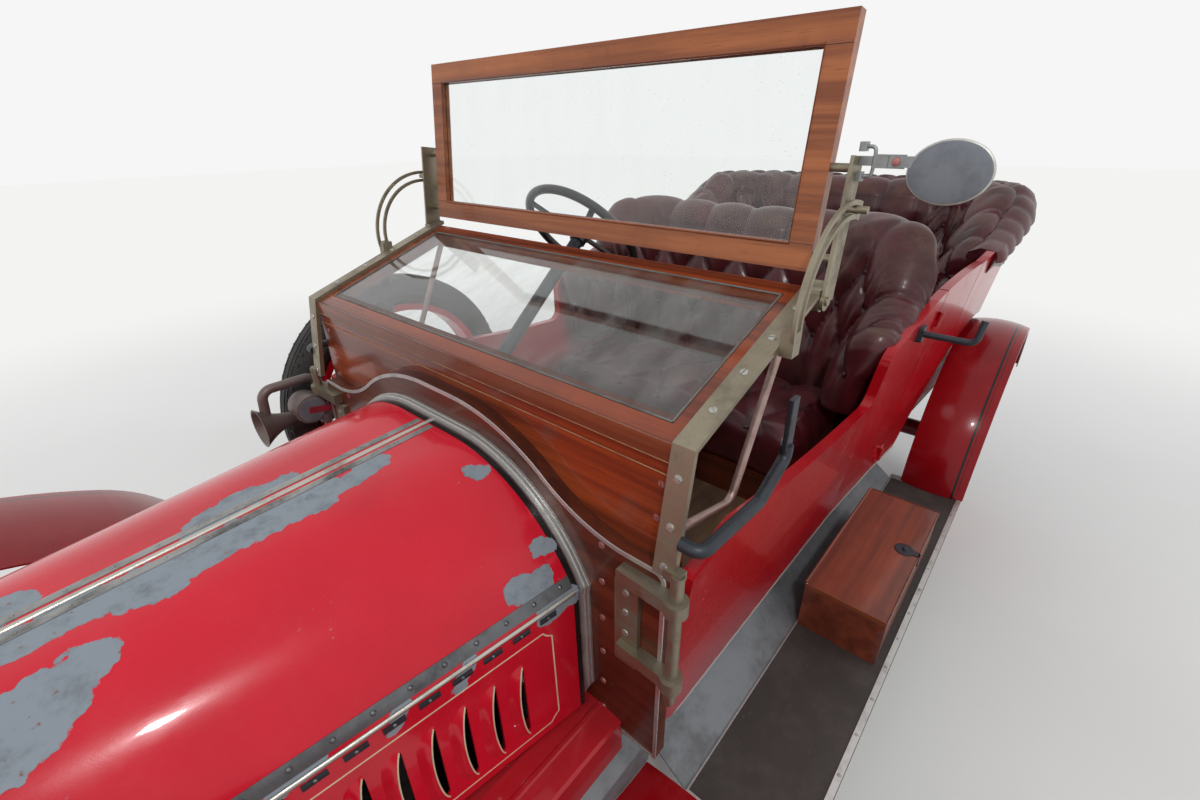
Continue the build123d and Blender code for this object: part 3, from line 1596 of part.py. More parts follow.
# Seats: plain closed forms of the padded cushions and wrap-round backs
seats = (
    # name, and the cushion's rear x, front x and half width
    ("front_seat_cushion", front_cushion),
    ("rear_seat_cushion", rear_cushion),
)
for name, (rear_x, front_x, half) in seats:
    with BuildPart() as cushion:
        with BuildSketch(Plane.XY.offset(seat_box_top + seat_gap)):
            with Locations(((rear_x + front_x) / 2, 0)):
                RectangleRounded(front_x - rear_x, 2 * half, cushion_corner)
        extrude(amount=cushion_thickness)
        fillet(cushion.edges().group_by(Axis.Z)[-1], radius=cushion_round)
    cushion.part.label = name
    export_step(cushion.part, f"parts/{name}.step")


def back_face(rear_x, front_x, half, corner):
    """Plan of a seat back's space, rounded at its two rear corners."""
    with BuildSketch() as face:
        with BuildLine():
            Line((front_x, half), (rear_x + corner, half))
            RadiusArc((rear_x + corner, half), (rear_x, half - corner), -corner)
            Line((rear_x, half - corner), (rear_x, corner - half))
            RadiusArc((rear_x, corner - half), (rear_x + corner, -half), -corner)
            Line((rear_x + corner, -half), (front_x, -half))
            Line((front_x, -half), (front_x, half))
        make_face()
    return face.sketch


back_bottom = seat_box_top + seat_gap
seat_backs = (
    # name, rear x, front x, half width, corner, rake, side view
    (
        "front_seat_back", back_rear_x, front_back_front, front_back_half, front_back_corner,
        seat_rake, front_back_view,
    ),
    (
        "rear_seat_back", rear_back_x, rear_back_front, rear_back_half, rear_back_corner,
        body_flare, rear_back_view,
    ),
)
for name, rear_x, front_x, half, corner, rake, view in seat_backs:
    with BuildPart() as seat_back:
        with BuildSketch(Plane.XY.offset(back_bottom)):
            add(back_face(rear_x, front_x, half, corner))
        extrude(amount=900, taper=-rake)
        with BuildSketch(Plane.XY.offset(back_bottom)):
            add(back_face(rear_x + back_thick, front_x + 300, half - back_thick, corner - back_corner_less))
        extrude(amount=900, taper=-rake, mode=Mode.SUBTRACT)
        with BuildSketch(Plane.XZ.offset(-1200)):
            with BuildLine():
                Polyline(*view, close=True)
            make_face()
        extrude(amount=2400, mode=Mode.INTERSECT)
    seat_back.part.label = name
    export_step(seat_back.part, f"parts/{name}.step")

# Steering column with its box on the right rail, and the steering wheel on its shaft
column_down = Vector(cos(radians(column_tilt)), 0, -sin(radians(column_tilt)))
wheel_centre = Vector(steering_wheel_x, column_y, steering_wheel_z)
column_plane = Plane(
    origin=wheel_centre + column_down * column_start, x_dir=(0, 1, 0), z_dir=column_down
)
with BuildPart() as steering_column:
    with BuildSketch(column_plane):
        Circle(column_radius)
    extrude(amount=column_length)
    with BuildSketch(column_plane):
        Circle(shaft_radius + running_gap)
    extrude(amount=column_bore, mode=Mode.SUBTRACT)
    box_end = wheel_centre + column_down * (column_length + 10)
    with BuildSketch(Plane.XZ.offset(rail_y - rail_width / 2)):
        with Locations((box_end.X, box_end.Z)):
            Circle(steering_box_radius)
    extrude(amount=-(rail_y - rail_width / 2 + column_y + 34))
steering_column.part.label = "steering_column"
export_step(steering_column.part, "parts/steering_column.step")

with BuildPart() as steering_wheel:
    wheel_plane = Plane(origin=wheel_centre, x_dir=(0, 1, 0), z_dir=column_down)
    with BuildSketch(Plane(origin=wheel_centre, x_dir=(0, 1, 0), z_dir=wheel_plane.y_dir * -1)):
        with Locations((steering_wheel_radius - steering_rim, 0)):
            Circle(steering_rim)
    revolve(axis=Axis(wheel_centre, column_down))
    with BuildSketch(wheel_plane):
        for number in range(4):
            with Locations(Rotation(0, 0, spoke_angle + 90 * number)):
                with Locations((steering_wheel_radius / 2 - 6, 0)):
                    Rectangle(steering_wheel_radius - 2 * steering_rim, spoke_size[0])
        Circle(wheel_boss[0])
    extrude(amount=spoke_size[1])
    with BuildSketch(wheel_plane):
        Circle(wheel_boss[1])
    extrude(amount=wheel_boss[2])
    with BuildSketch(wheel_plane):
        Circle(shaft_radius)
    extrude(amount=shaft_reach)
steering_wheel.part.label = "steering_wheel"
export_step(steering_wheel.part, "parts/steering_wheel.step")

# Headlamps on posts from the chassis horns
with BuildPart() as headlamps:
    for side in (1, -1):
        with BuildSketch(Plane.XY.offset(headlamp_z)):
            with BuildLine():
                Polyline(
                    (headlamp_x + lamp_back[0], side * headlamp_y),
                    (headlamp_x + lamp_back[0], side * (headlamp_y + lamp_back[1])),
                    (headlamp_x + lamp_waist[0], side * (headlamp_y + lamp_waist[1])),
                    (headlamp_x + lamp_flare[0], side * (headlamp_y + headlamp_radius - lamp_flare[1])),
                    (headlamp_x + lamp_rim[0], side * (headlamp_y + headlamp_radius)),
                    (headlamp_x + lamp_rim[1], side * (headlamp_y + headlamp_radius)),
                    (headlamp_x + lamp_rim[1], side * headlamp_y),
                    close=True,
                )
            make_face()
        revolve(axis=Axis((headlamp_x, side * headlamp_y, headlamp_z), (1, 0, 0)))
        with BuildSketch(Plane.XY.offset(rail_top)):
            with Locations((lamp_foot_x, side * rail_y)):
                Rectangle(lamp_foot[0], lamp_foot[1])
        extrude(amount=lamp_foot[2])
        add(
            bent_rod(
                [
                    (lamp_foot_x, side * rail_y, rail_top + lamp_foot[2] / 2),
                    (lamp_foot_x, side * rail_y, headlamp_z - headlamp_radius - 24),
                    (headlamp_x, side * headlamp_y, headlamp_z - headlamp_radius - 10),
                    (headlamp_x, side * headlamp_y, headlamp_z - 60),
                ],
                lamp_post_bend,
                lamp_post_radius,
            )
        )
headlamps.part.label = "headlamps"
export_step(headlamps.part, "parts/headlamps.step")

# Horn: motor drum, bell and looped tube, clamped on the right pillar rod
with BuildPart() as horn:
    with BuildSketch(Plane.XY.offset(horn_z)):
        with BuildLine():
            mouth_x = horn_x + horn_length
            Polyline(
                (horn_x - horn_back, horn_y),
                (horn_x - horn_back, horn_y - horn_drum),
                (horn_x + horn_back, horn_y - horn_drum),
                (horn_x + horn_back, horn_y - horn_throat),
                (horn_x + horn_bell, horn_y - horn_throat),
            )
            ThreePointArc(
                (horn_x + horn_bell, horn_y - horn_throat),
                (mouth_x - 50, horn_y - horn_throat - 10),
                (mouth_x, horn_y - horn_mouth),
            )
            Line((mouth_x, horn_y - horn_mouth), (mouth_x, horn_y - horn_mouth + horn_wall + 1))
            ThreePointArc(
                (mouth_x, horn_y - horn_mouth + horn_wall + 1),
                (mouth_x - 40, horn_y - horn_throat - 14 + horn_wall),
                (mouth_x - 80, horn_y - horn_throat - 2 + horn_wall),
            )
            Polyline(
                (mouth_x - 80, horn_y - horn_throat - 2 + horn_wall),
                (mouth_x - 80, horn_y),
                (horn_x - horn_back, horn_y),
            )
        make_face()
    revolve(axis=Axis((horn_x, horn_y, horn_z), (1, 0, 0)))
    add(
        bent_rod(
            [
                (horn_x, horn_y, horn_z + horn_loop_z[0]),
                (horn_x + horn_loop[0], horn_y, horn_z + horn_loop_z[1]),
                (horn_x + horn_loop[1], horn_y, horn_z + horn_loop_z[1]),
                (horn_x + horn_loop[2], horn_y, horn_z + horn_loop_z[2]),
            ],
            horn_loop_bend,
            horn_tube,
        )
    )
    with BuildSketch(Plane.XY.offset(horn_z - 12)):
        with Locations((bracket_rod_x, -rod_y)):
            Circle(pillar_rod_radius + 8)
        with Locations(((bracket_rod_x + horn_x) / 2, -(rod_y + 18))):
            Rectangle(26, 20)
        with Locations((bracket_rod_x, -rod_y)):
            Circle(pillar_rod_radius + seat_gap, mode=Mode.SUBTRACT)
    extrude(amount=24)
horn.part.label = "horn"
export_step(horn.part, "parts/horn.step")

# Exhaust: pipe from the engine, silencer, and a tail pipe over the axle
with BuildPart() as exhaust:
    add(bent_rod(exhaust_route, 60, exhaust_radius))
    with BuildSketch(Plane.YZ.offset(silencer[0])):
        with Locations((exhaust_y, exhaust_z)):
            Circle(silencer[2])
    extrude(amount=-silencer[1])
exhaust.part.label = "exhaust"
export_step(exhaust.part, "parts/exhaust.step")

# Hood irons on the body sides, the hood missing; each foot is cut to the flared side
with BuildPart() as body_clearance:
    with BuildSketch(Plane.XY.offset(body_bottom)):
        add(body_face(-seat_gap))
    extrude(amount=body_height, taper=-body_flare)

with BuildPart() as hood_irons:
    for side in (1, -1):
        plate_length, plate_height, plate_round, plate_depth = hood_iron_plate
        with BuildSketch(Plane.XZ.offset(-side * (hood_iron_y - plate_depth / 2))):
            with Locations((hood_iron_x, hood_iron_z)):
                RectangleRounded(plate_length, plate_height, plate_round)
        extrude(amount=-side * plate_depth)
        add(
            bent_rod(
                [
                    (hood_iron_x, side * (hood_iron_y + 8), hood_iron_z),
                    (hood_iron_x, side * hood_iron_reach, hood_iron_z),
                    (
                        hood_iron_x - hood_iron_tip[0],
                        side * (hood_iron_reach + hood_iron_tip[1]),
                        hood_iron_z + hood_iron_tip[2],
                    ),
                ],
                hood_iron_bend,
                hood_iron_radius,
            )
        )
    add(body_clearance.part, mode=Mode.SUBTRACT)
hood_irons.part.label = "hood_irons"
export_step(hood_irons.part, "parts/hood_irons.step")
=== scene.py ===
"""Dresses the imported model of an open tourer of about 1912 and sets it in a plain studio."""

import logging
import math
from dataclasses import dataclass, field
from enum import Enum
from typing import Callable, Iterable, Optional, Sequence, Union

import bmesh
import bpy
import numpy as np
from mathutils import Matrix, Vector
from mathutils.bvhtree import BVHTree


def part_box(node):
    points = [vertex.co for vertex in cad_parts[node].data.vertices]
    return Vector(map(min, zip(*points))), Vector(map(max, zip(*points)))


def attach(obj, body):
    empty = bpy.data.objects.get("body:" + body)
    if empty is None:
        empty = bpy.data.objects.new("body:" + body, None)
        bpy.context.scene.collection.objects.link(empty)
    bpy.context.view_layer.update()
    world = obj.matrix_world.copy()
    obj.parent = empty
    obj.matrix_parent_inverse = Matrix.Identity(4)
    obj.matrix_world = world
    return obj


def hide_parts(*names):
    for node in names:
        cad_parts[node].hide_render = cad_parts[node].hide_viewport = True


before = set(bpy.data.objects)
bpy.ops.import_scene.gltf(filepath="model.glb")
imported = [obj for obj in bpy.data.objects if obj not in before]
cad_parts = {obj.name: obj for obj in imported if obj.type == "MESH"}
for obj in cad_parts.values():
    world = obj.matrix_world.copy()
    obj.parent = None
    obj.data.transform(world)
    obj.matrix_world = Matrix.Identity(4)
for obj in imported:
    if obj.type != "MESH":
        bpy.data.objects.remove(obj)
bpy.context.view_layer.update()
NODES: dict[str, bpy.types.Object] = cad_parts
LOG = logging.getLogger("tourer")
Colour = tuple[float, float, float]
Point = tuple[float, float, float]
SIDES = (("left", 1), ("right", -1))
AHEAD, LEFT, UP, DOWN = (Vector(way) for way in ((1, 0, 0), (0, 1, 0), (0, 0, 1), (0, 0, -1)))
AXLES = (("front", 1.620), ("rear", -1.480))
WHEEL_Y, WHEEL_Z = 0.700, 0.410
SHARP = math.radians(38)
RAYS = ("Camera", "Glossy", "Transmission")


class Wire:
    """One output of a shader graph that arithmetic can be done on."""

    def __init__(self, graph: "Tree", socket: bpy.types.NodeSocket) -> None:
        """Keeps the graph and the socket."""
        self.graph = graph
        self.socket = socket

    def _math(self, operation: str, *values: "Value") -> "Wire":
        """Adds one Math node.

        Args:
            operation: The node's operation.
            values: Its operands, in order.

        Returns:
            The node's output.
        """
        return self.graph.node("ShaderNodeMath", {"operation": operation}, dict(enumerate(values)))

    def __add__(self, other: "Value") -> "Wire":
        """self + other."""
        return self._math("ADD", self, other)

    def __sub__(self, other: "Value") -> "Wire":
        """self - other."""
        return self._math("SUBTRACT", self, other)

    def __rsub__(self, other: "Value") -> "Wire":
        """other - self."""
        return self._math("SUBTRACT", other, self)

    def __mul__(self, other: "Value") -> "Wire":
        """self * other."""
        return self._math("MULTIPLY", self, other)

    def __truediv__(self, other: "Value") -> "Wire":
        """self / other."""
        return self._math("DIVIDE", self, other)

    def __pow__(self, other: "Value") -> "Wire":
        """self ** other."""
        return self._math("POWER", self, other)

    def __abs__(self) -> "Wire":
        """The size of self."""
        return self._math("ABSOLUTE", self)

    __radd__ = __add__
    __rmul__ = __mul__

    def low(self, other: "Value") -> "Wire":
        """The smaller of self and other."""
        return self._math("MINIMUM", self, other)

    def high(self, other: "Value") -> "Wire":
        """The larger of self and other."""
        return self._math("MAXIMUM", self, other)

    def sine(self) -> "Wire":
        """The sine of self."""
        return self._math("SINE", self)

    def ramp(self, start: float, end: float) -> "Wire":
        """A smooth step of self.

        Args:
            start: Where the step is 0.
            end: Where the step is 1.

        Returns:
            The step, from 0 to 1.
        """
        if start > end:
            return 1 - self.ramp(end, start)
        settings = {"interpolation_type": "SMOOTHSTEP"}
        values = {"Value": self, "From Min": start, "From Max": end}
        return self.graph.node("ShaderNodeMapRange", settings, values)


Value = Union[Wire, float, int, Sequence[float]]


class Tree:
    """A node tree that is built from nothing."""

    def __init__(self, tree: bpy.types.NodeTree) -> None:
        """Empties the tree."""
        self.tree = tree
        self.tree.nodes.clear()

    def node(
        self, kind: str, settings: Optional[dict] = None, values: Optional[dict] = None,
        output: Union[int, str] = 0,
    ) -> Wire:
        """Adds one node.

        Args:
            kind: The node's type.
            settings: Its properties, set first.
            values: The values or links of its sockets, by name or number.
            output: The output to return.

        Returns:
            The output asked for.
        """
        made = self.tree.nodes.new(kind)
        for name, value in (settings or {}).items():
            setattr(made, name, value)
        for key, value in (values or {}).items():
            socket = made.inputs[key]
            if isinstance(value, Wire):
                self.tree.links.new(value.socket, socket)
            else:
                socket.default_value = value
        return Wire(self, made.outputs[output])

    def end(self, kind: str, last: Wire) -> None:
        """Adds the output node and joins the last wire to it."""
        self.tree.links.new(last.socket, self.tree.nodes.new(kind).inputs[0])


class Graph(Tree):
    """The shader of one material or world, with a method for each thing that finishes need."""

    def __init__(self, owner: Union[bpy.types.Material, bpy.types.World]) -> None:
        """Starts the owner's shader."""
        owner.use_nodes = True
        super().__init__(owner.node_tree)
        self.owner = owner
        self._place: Optional[Wire] = None
        self._axes: dict[int, Wire] = {}

    @property
    def place(self) -> Wire:
        """The point on the piece, in metres, in the car's frame."""
        if self._place is None:
            self._place = self.node("ShaderNodeTexCoord", output="Object")
        return self._place

    def axis(self, number: int) -> Wire:
        """One coordinate of the place: 0 forward, 1 left, 2 up."""
        if not self._axes:
            split = self.node("ShaderNodeSeparateXYZ", values={0: self.place}).socket.node
            self._axes = {i: Wire(self, split.outputs[i]) for i in range(3)}
        return self._axes[number]

    def stretch(self, scale: Point, turn: Point = (0, 0, 0)) -> Wire:
        """The place, turned and scaled along each axis."""
        return self.node("ShaderNodeMapping", values={"Vector": self.place, "Scale": scale, "Rotation": turn})

    def noise(self, scale: float, detail: float = 4, rough: float = 0.55, at: Optional[Wire] = None) -> Wire:
        """Fractal noise around 0.5.

        Args:
            scale: Features per metre.
            detail: Octaves.
            rough: Weight of the finer octaves.
            at: Where it is read, if not at the place.

        Returns:
            The noise, as a number.
        """
        values = {"Vector": at or self.place, "Scale": scale, "Detail": detail, "Roughness": rough}
        return self.node("ShaderNodeTexNoise", values=values)

    def cells(self, scale: float, feature: str = "F1", at: Optional[Wire] = None) -> Wire:
        """Distance inside a field of cells.

        Args:
            scale: Cells per metre.
            feature: F1, or DISTANCE_TO_EDGE for the lines between cells.
            at: Where it is read, if not at the place.

        Returns:
            The distance, as a number.
        """
        values = {"Vector": at or self.place, "Scale": scale}
        return self.node("ShaderNodeTexVoronoi", {"feature": feature}, values, "Distance")

    def mix(self, share: Value, first: Value, second: Value) -> Wire:
        """A colour between two.

        Args:
            share: 0 for the first colour and 1 for the second.
            first: Colour or link.
            second: Colour or link.

        Returns:
            The mixed colour.
        """
        values = {0: share, 6: rgba(first), 7: rgba(second)}
        return self.node("ShaderNodeMix", {"data_type": "RGBA"}, values, 2)

    def vector(self, operation: str, first: Value, second: Value, output: Union[int, str] = 0) -> Wire:
        """Adds one Vector Math node; a scale is by a number."""
        values = {0: first, "Scale" if operation == "SCALE" else 1: second}
        return self.node("ShaderNodeVectorMath", {"operation": operation}, values, output)

    def bump(self, height: Wire, strength: float, depth: float, below: Optional[Wire] = None) -> Wire:
        """A normal from a height.

        Args:
            height: The height, about 0 to 1.
            strength: How much of it is used.
            depth: Metres for a height of 1.
            below: The normal that it goes over.

        Returns:
            The normal.
        """
        values: dict = {"Strength": strength, "Distance": depth, "Height": height}
        if below is not None:
            values["Normal"] = below
        return self.node("ShaderNodeBump", values=values, output="Normal")

    def capsule(self, start: Point, end: Point, at: Wire) -> Wire:
        """Distance from a line between two points.

        Args:
            start: The line's first point.
            end: The line's last point.
            at: Where the distance is measured.

        Returns:
            The distance in metres.
        """
        reach = Vector(end) - Vector(start)
        gone = self.vector("SUBTRACT", at, start)
        dot = self.vector("DOT_PRODUCT", gone, tuple(reach), "Value")
        share = (dot / max(reach.length_squared, 1e-9)).high(0.0).low(1.0)
        off = self.vector("SUBTRACT", gone, self.vector("SCALE", tuple(reach), share))
        return self.length(off)

    def length(self, at: Wire) -> Wire:
        """The length of a vector."""
        return self.node("ShaderNodeVectorMath", {"operation": "LENGTH"}, {0: at}, "Value")

    def ragged(self, size: float, fine: float) -> Wire:
        """The place, shifted about by noise.

        Args:
            size: Metres that the coarse noise shifts it.
            fine: Metres that the fine noise shifts it.

        Returns:
            The shifted place.
        """
        shifted = self.place
        for scale, reach in ((16.0, size), (75.0, fine)):
            values = {"Vector": self.place, "Scale": scale, "Detail": 3.0}
            cloud = self.node("ShaderNodeTexNoise", values=values, output="Color")
            centred = self.vector("SUBTRACT", cloud, (0.5, 0.5, 0.5))
            shifted = self.vector("ADD", shifted, self.vector("SCALE", centred, reach))
        return shifted

    def surface(self, **values: Value) -> Wire:
        """Adds the main shader; names have underscores for spaces."""
        named = {key.replace("_", " "): value for key, value in values.items()}
        return self.node("ShaderNodeBsdfPrincipled", values=named)

    def seen(self) -> Wire:
        """1 for the camera's own rays and for those that metal and glass send on."""
        camera, glossy, through = (self.node("ShaderNodeLightPath", output=f"Is {kind} Ray") for kind in RAYS)
        return camera.high(glossy).high(through)

    def close(self, shader: Wire) -> Union[bpy.types.Material, bpy.types.World]:
        """Joins the shader to the output and returns the material or world."""
        world = isinstance(self.owner, bpy.types.World)
        self.end("ShaderNodeOutputWorld" if world else "ShaderNodeOutputMaterial", shader)
        return self.owner


def rgba(colour: Value) -> Value:
    """A colour with its alpha, or a link as it is."""
    return colour if isinstance(colour, Wire) else (*colour[:3], 1.0)


@dataclass(frozen=True)
class Finish:
    """What every finish has: a name, and a material that is made once."""

    name: str

    def draw(self, g: Graph) -> Wire:
        """Builds the shader in the graph and returns it."""
        raise NotImplementedError

    @property
    def material(self) -> bpy.types.Material:
        """The finish as a material."""
        if self not in _MATERIALS:
            graph = Graph(bpy.data.materials.new(self.name))
            _MATERIALS[self] = graph.close(self.draw(graph))
        return _MATERIALS[self]


_MATERIALS: dict[Finish, bpy.types.Material] = {}


@dataclass(frozen=True)
class Patch:
    """A place where the top coat has gone: all that is within a radius of a line between two points."""

    start: Point
    end: Point
    radius: float


@dataclass(frozen=True)
class Line:
    """A painted line where one coordinate, without its sign, has one value."""

    axis: int
    at: float
    width: float
    colour: Colour
    from_x: float = -9.0
    to_x: float = 9.0


@dataclass(frozen=True)
class Enamel(Finish):
    """Old gloss paint with scratches, dust, chips, painted lines and patches of bare primer."""

    colour: Colour = (0.52, 0.006, 0.018)
    dark: Colour = (0.42, 0.004, 0.014)
    primer: Colour = (0.24, 0.27, 0.30)
    gloss: float = 0.16
    chips: float = 0.5
    patches: tuple[Patch, ...] = ()
    lines: tuple[Line, ...] = ()
    bare_below: float = -1.0
    coat: float = 0.32

    def draw(self, g: Graph) -> Wire:
        """Paints the coats in order, from the body colour to the primer that shows through."""
        cloud = g.noise(2.6, 5)
        colour = g.mix(cloud.ramp(0.35, 0.75), self.colour, self.dark)
        for line in self.lines:
            off = abs(abs(g.axis(line.axis)) - line.at)
            mask = off.ramp(line.width / 2 + 0.0006, line.width / 2 - 0.0004)
            inside = (g.axis(0) - line.from_x).ramp(0.0, 0.004) * (line.to_x - g.axis(0)).ramp(0.0, 0.004)
            colour = g.mix(mask * inside, colour, line.colour)
        grain = g.noise(9.0, 8, 0.7)
        scratch = g.noise(30, 2, 0.6, g.stretch((2.0, 34.0, 34.0), (0.2, 0.1, 0.35)))
        dust = g.noise(5.5, 6, 0.7).ramp(0.48, 0.80)
        colour = g.mix(dust * 0.05, colour, (0.42, 0.30, 0.26))
        chip = g.cells(60.0).ramp(0.16, 0.10) * grain.ramp(0.60, 0.68) * self.chips
        bare: Wire = chip
        at = g.ragged(0.050, 0.016)
        for patch in self.patches:
            away = g.capsule(patch.start, patch.end, at)
            bare = bare.high(away.ramp(patch.radius + 0.0012, patch.radius - 0.0006))
        if self.bare_below > 0:
            edge = g.axis(2) + (g.noise(38.0, 5, 0.7) - 0.5) * 0.016
            worn = edge.ramp(self.bare_below + 0.002, self.bare_below - 0.001)
            colour = g.mix(worn * 0.85, colour, (0.62, 0.58, 0.52))
        stain = g.noise(24.0, 6, 0.7)
        under = g.mix(stain.ramp(0.45, 0.75), self.primer, (0.15, 0.165, 0.18))
        under = g.mix(g.noise(70.0, 3).ramp(0.66, 0.74) * 0.7, under, (0.20, 0.07, 0.03))
        colour = g.mix(bare, colour, under)
        rough = self.gloss + grain * 0.10 + scratch.ramp(0.60, 0.72) * 0.14 + dust * 0.10
        rough = rough + bare * 0.34
        coat = (1 - bare) * self.coat
        skin = g.bump(g.noise(420.0, 2), 0.10, 0.0004)
        flaked = g.bump(1 - bare, 0.9, 0.0009, skin)
        return g.surface(
            Base_Color=colour, Roughness=rough, Coat_Weight=coat, Coat_Roughness=0.05, Normal=flaked, IOR=1.5,
            Specular_IOR_Level=0.22,
        )


@dataclass(frozen=True)
class Wood(Finish):
    """Varnished wood with a grain along one axis."""

    light: Colour = (0.30, 0.075, 0.020)
    dark: Colour = (0.095, 0.020, 0.008)
    along: Point = (0.0, 0.0, 0.0)
    rings: float = 26.0
    gloss: float = 0.22
    coat: float = 0.4
    wear: Colour = (0.42, 0.22, 0.10)

    def draw(self, g: Graph) -> Wire:
        """Draws the rings, the pores, the stains and the varnish."""
        turned = g.node("ShaderNodeMapping", values={"Vector": g.place, "Rotation": self.along})
        values = {"Vector": turned, "Scale": (0.9, self.rings, self.rings)}
        grainway = g.node("ShaderNodeMapping", values=values)
        rings = g.noise(1.0, 6, 0.62, grainway)
        values = {"Vector": turned, "Scale": (14.0, 620.0, 620.0)}
        pores = g.noise(1.0, 3, 0.6, g.node("ShaderNodeMapping", values=values))
        figure = g.noise(3.2, 5, 0.6, turned)
        colour = g.mix(rings.ramp(0.34, 0.66), self.dark, self.light)
        colour = g.mix(figure.ramp(0.40, 0.72) * 0.55, colour, self.dark)
        colour = g.mix(pores.ramp(0.60, 0.72) * 0.6, colour, (0.03, 0.010, 0.005))
        worn = g.noise(11.0, 7, 0.72).ramp(0.66, 0.74)
        colour = g.mix(worn * 0.45, colour, self.wear)
        stain = g.noise(6.0, 4, 0.6).ramp(0.60, 0.78)
        colour = g.mix(stain * 0.5, colour, (0.035, 0.012, 0.008))
        rough = self.gloss + worn * 0.3 + g.noise(16.0, 5) * 0.14
        relief = g.bump(pores * 0.5 + rings * 0.5, 0.35, 0.0006)
        relief = g.bump(worn, 0.3, 0.0004, relief)
        coat = (1 - worn) * self.coat
        return g.surface(
            Base_Color=colour, Roughness=rough, Coat_Weight=coat, Coat_Roughness=0.09, Normal=relief,
            Specular_IOR_Level=0.25,
        )


@dataclass(frozen=True)
class Metal(Finish):
    """Metal with tarnish, spots and fine scratches."""

    colour: Colour = (0.60, 0.52, 0.38)
    tarnish: Colour = (0.20, 0.17, 0.12)
    aged: float = 0.5
    gloss: float = 0.28
    metallic: float = 1.0
    brushed: Point = (40.0, 40.0, 40.0)
    dent: float = 0.0004

    def draw(self, g: Graph) -> Wire:
        """Draws the metal, what has settled on it, and its scratches."""
        cloud = g.noise(14.0, 7, 0.68)
        spots = g.noise(85.0, 5, 0.7)
        old = cloud.ramp(0.62 - self.aged * 0.34, 0.78) + spots.ramp(0.62, 0.74) * 0.5
        old = old.low(1.0)
        colour = g.mix(old, self.colour, self.tarnish)
        lines = g.noise(14.0, 3, 0.6, g.stretch(self.brushed))
        rough = self.gloss + old * 0.30 + lines * 0.12
        metallic = self.metallic - old * 0.35 * self.metallic
        relief = g.bump(lines * 0.3 + cloud * 0.7, 0.5, self.dent)
        relief = g.bump(spots, 0.25, 0.0002, relief)
        return g.surface(Base_Color=colour, Roughness=rough, Metallic=metallic, Normal=relief)


@dataclass(frozen=True)
class Leather(Finish):
    """Old upholstery leather: a fine grain, creases, a browner worn crown, and painted shade in the hollows
    between the buttons and pleats.
    """

    colour: Colour = (0.088, 0.012, 0.016)
    deep: Colour = (0.024, 0.005, 0.006)
    worn: Colour = (0.105, 0.050, 0.032)

    def draw(self, g: Graph) -> Wire:
        """Draws the hide; the attribute "crown" says where it is rubbed, and where it is near 0 shade is
        painted in.
        """
        crown = g.node("ShaderNodeAttribute", {"attribute_name": "crown"}, output="Fac")
        cloud = g.noise(6.0, 6, 0.65)
        colour = g.mix(cloud.ramp(0.30, 0.75), self.colour, self.deep)
        rubbed = crown.ramp(0.30, 1.0) * g.noise(18.0, 6, 0.7).ramp(0.36, 0.66)
        colour = g.mix(rubbed * 0.75, colour, self.worn)
        # Painted shade: where the crown value is near 0, in the hollows round the buttons and in the folds of
        # the pleats, the hide is mixed towards the deep colour.
        colour = g.mix(crown.ramp(0.10, 0.0) * 0.7, colour, self.deep)
        creases = g.cells(130.0, "DISTANCE_TO_EDGE").ramp(0.05, 0.0)
        colour = g.mix(creases * 0.35, colour, self.deep)
        rough = 0.27 + rubbed * 0.20 + g.noise(28.0, 4) * 0.12 + creases * 0.12
        return g.surface(
            Base_Color=colour, Roughness=rough, Coat_Weight=0.14, Coat_Roughness=0.16,
            Specular_IOR_Level=0.36,
        )


@dataclass(frozen=True)
class Rubber(Finish):
    """Old black rubber with patches of dust and fine cracks."""

    colour: Colour = (0.022, 0.021, 0.020)
    dust: Colour = (0.16, 0.14, 0.12)

    def draw(self, g: Graph) -> Wire:
        """Draws the rubber, its dust and its cracks."""
        cloud = g.noise(9.0, 7, 0.7)
        colour = g.mix(cloud.ramp(0.46, 0.80) * 0.55, self.colour, self.dust)
        cracks = g.cells(210.0, "DISTANCE_TO_EDGE").ramp(0.0, 0.05)
        relief = g.bump(cracks, 0.25, 0.0005)
        relief = g.bump(g.noise(300.0, 3), 0.3, 0.0003, relief)
        return g.surface(Base_Color=colour, Roughness=0.62 + cloud * 0.2, Normal=relief)


@dataclass(frozen=True)
class DustyGlass(Finish):
    """Thin clear glass with dust, specks and wiped streaks on it."""

    dust: float = 0.10
    tint: Colour = (0.93, 0.96, 0.95)

    def draw(self, g: Graph) -> Wire:
        """Mixes the glass with its dust."""
        clear = g.surface(Base_Color=rgba(self.tint), Roughness=0.0, IOR=1.45, Transmission_Weight=1.0)
        film = g.surface(Base_Color=(0.50, 0.50, 0.47, 1.0), Roughness=0.9)
        wiped = g.noise(7.0, 6, 0.65, g.stretch((1.0, 2.4, 1.0), (0.0, 0.0, 0.5)))
        specks = g.cells(95.0).ramp(0.13, 0.05) * g.noise(30.0, 3).ramp(0.45, 0.6)
        fog = wiped.ramp(0.30, 0.85) * self.dust + specks * 0.35
        return g.node("ShaderNodeMixShader", values={0: fog, 1: clear, 2: film})


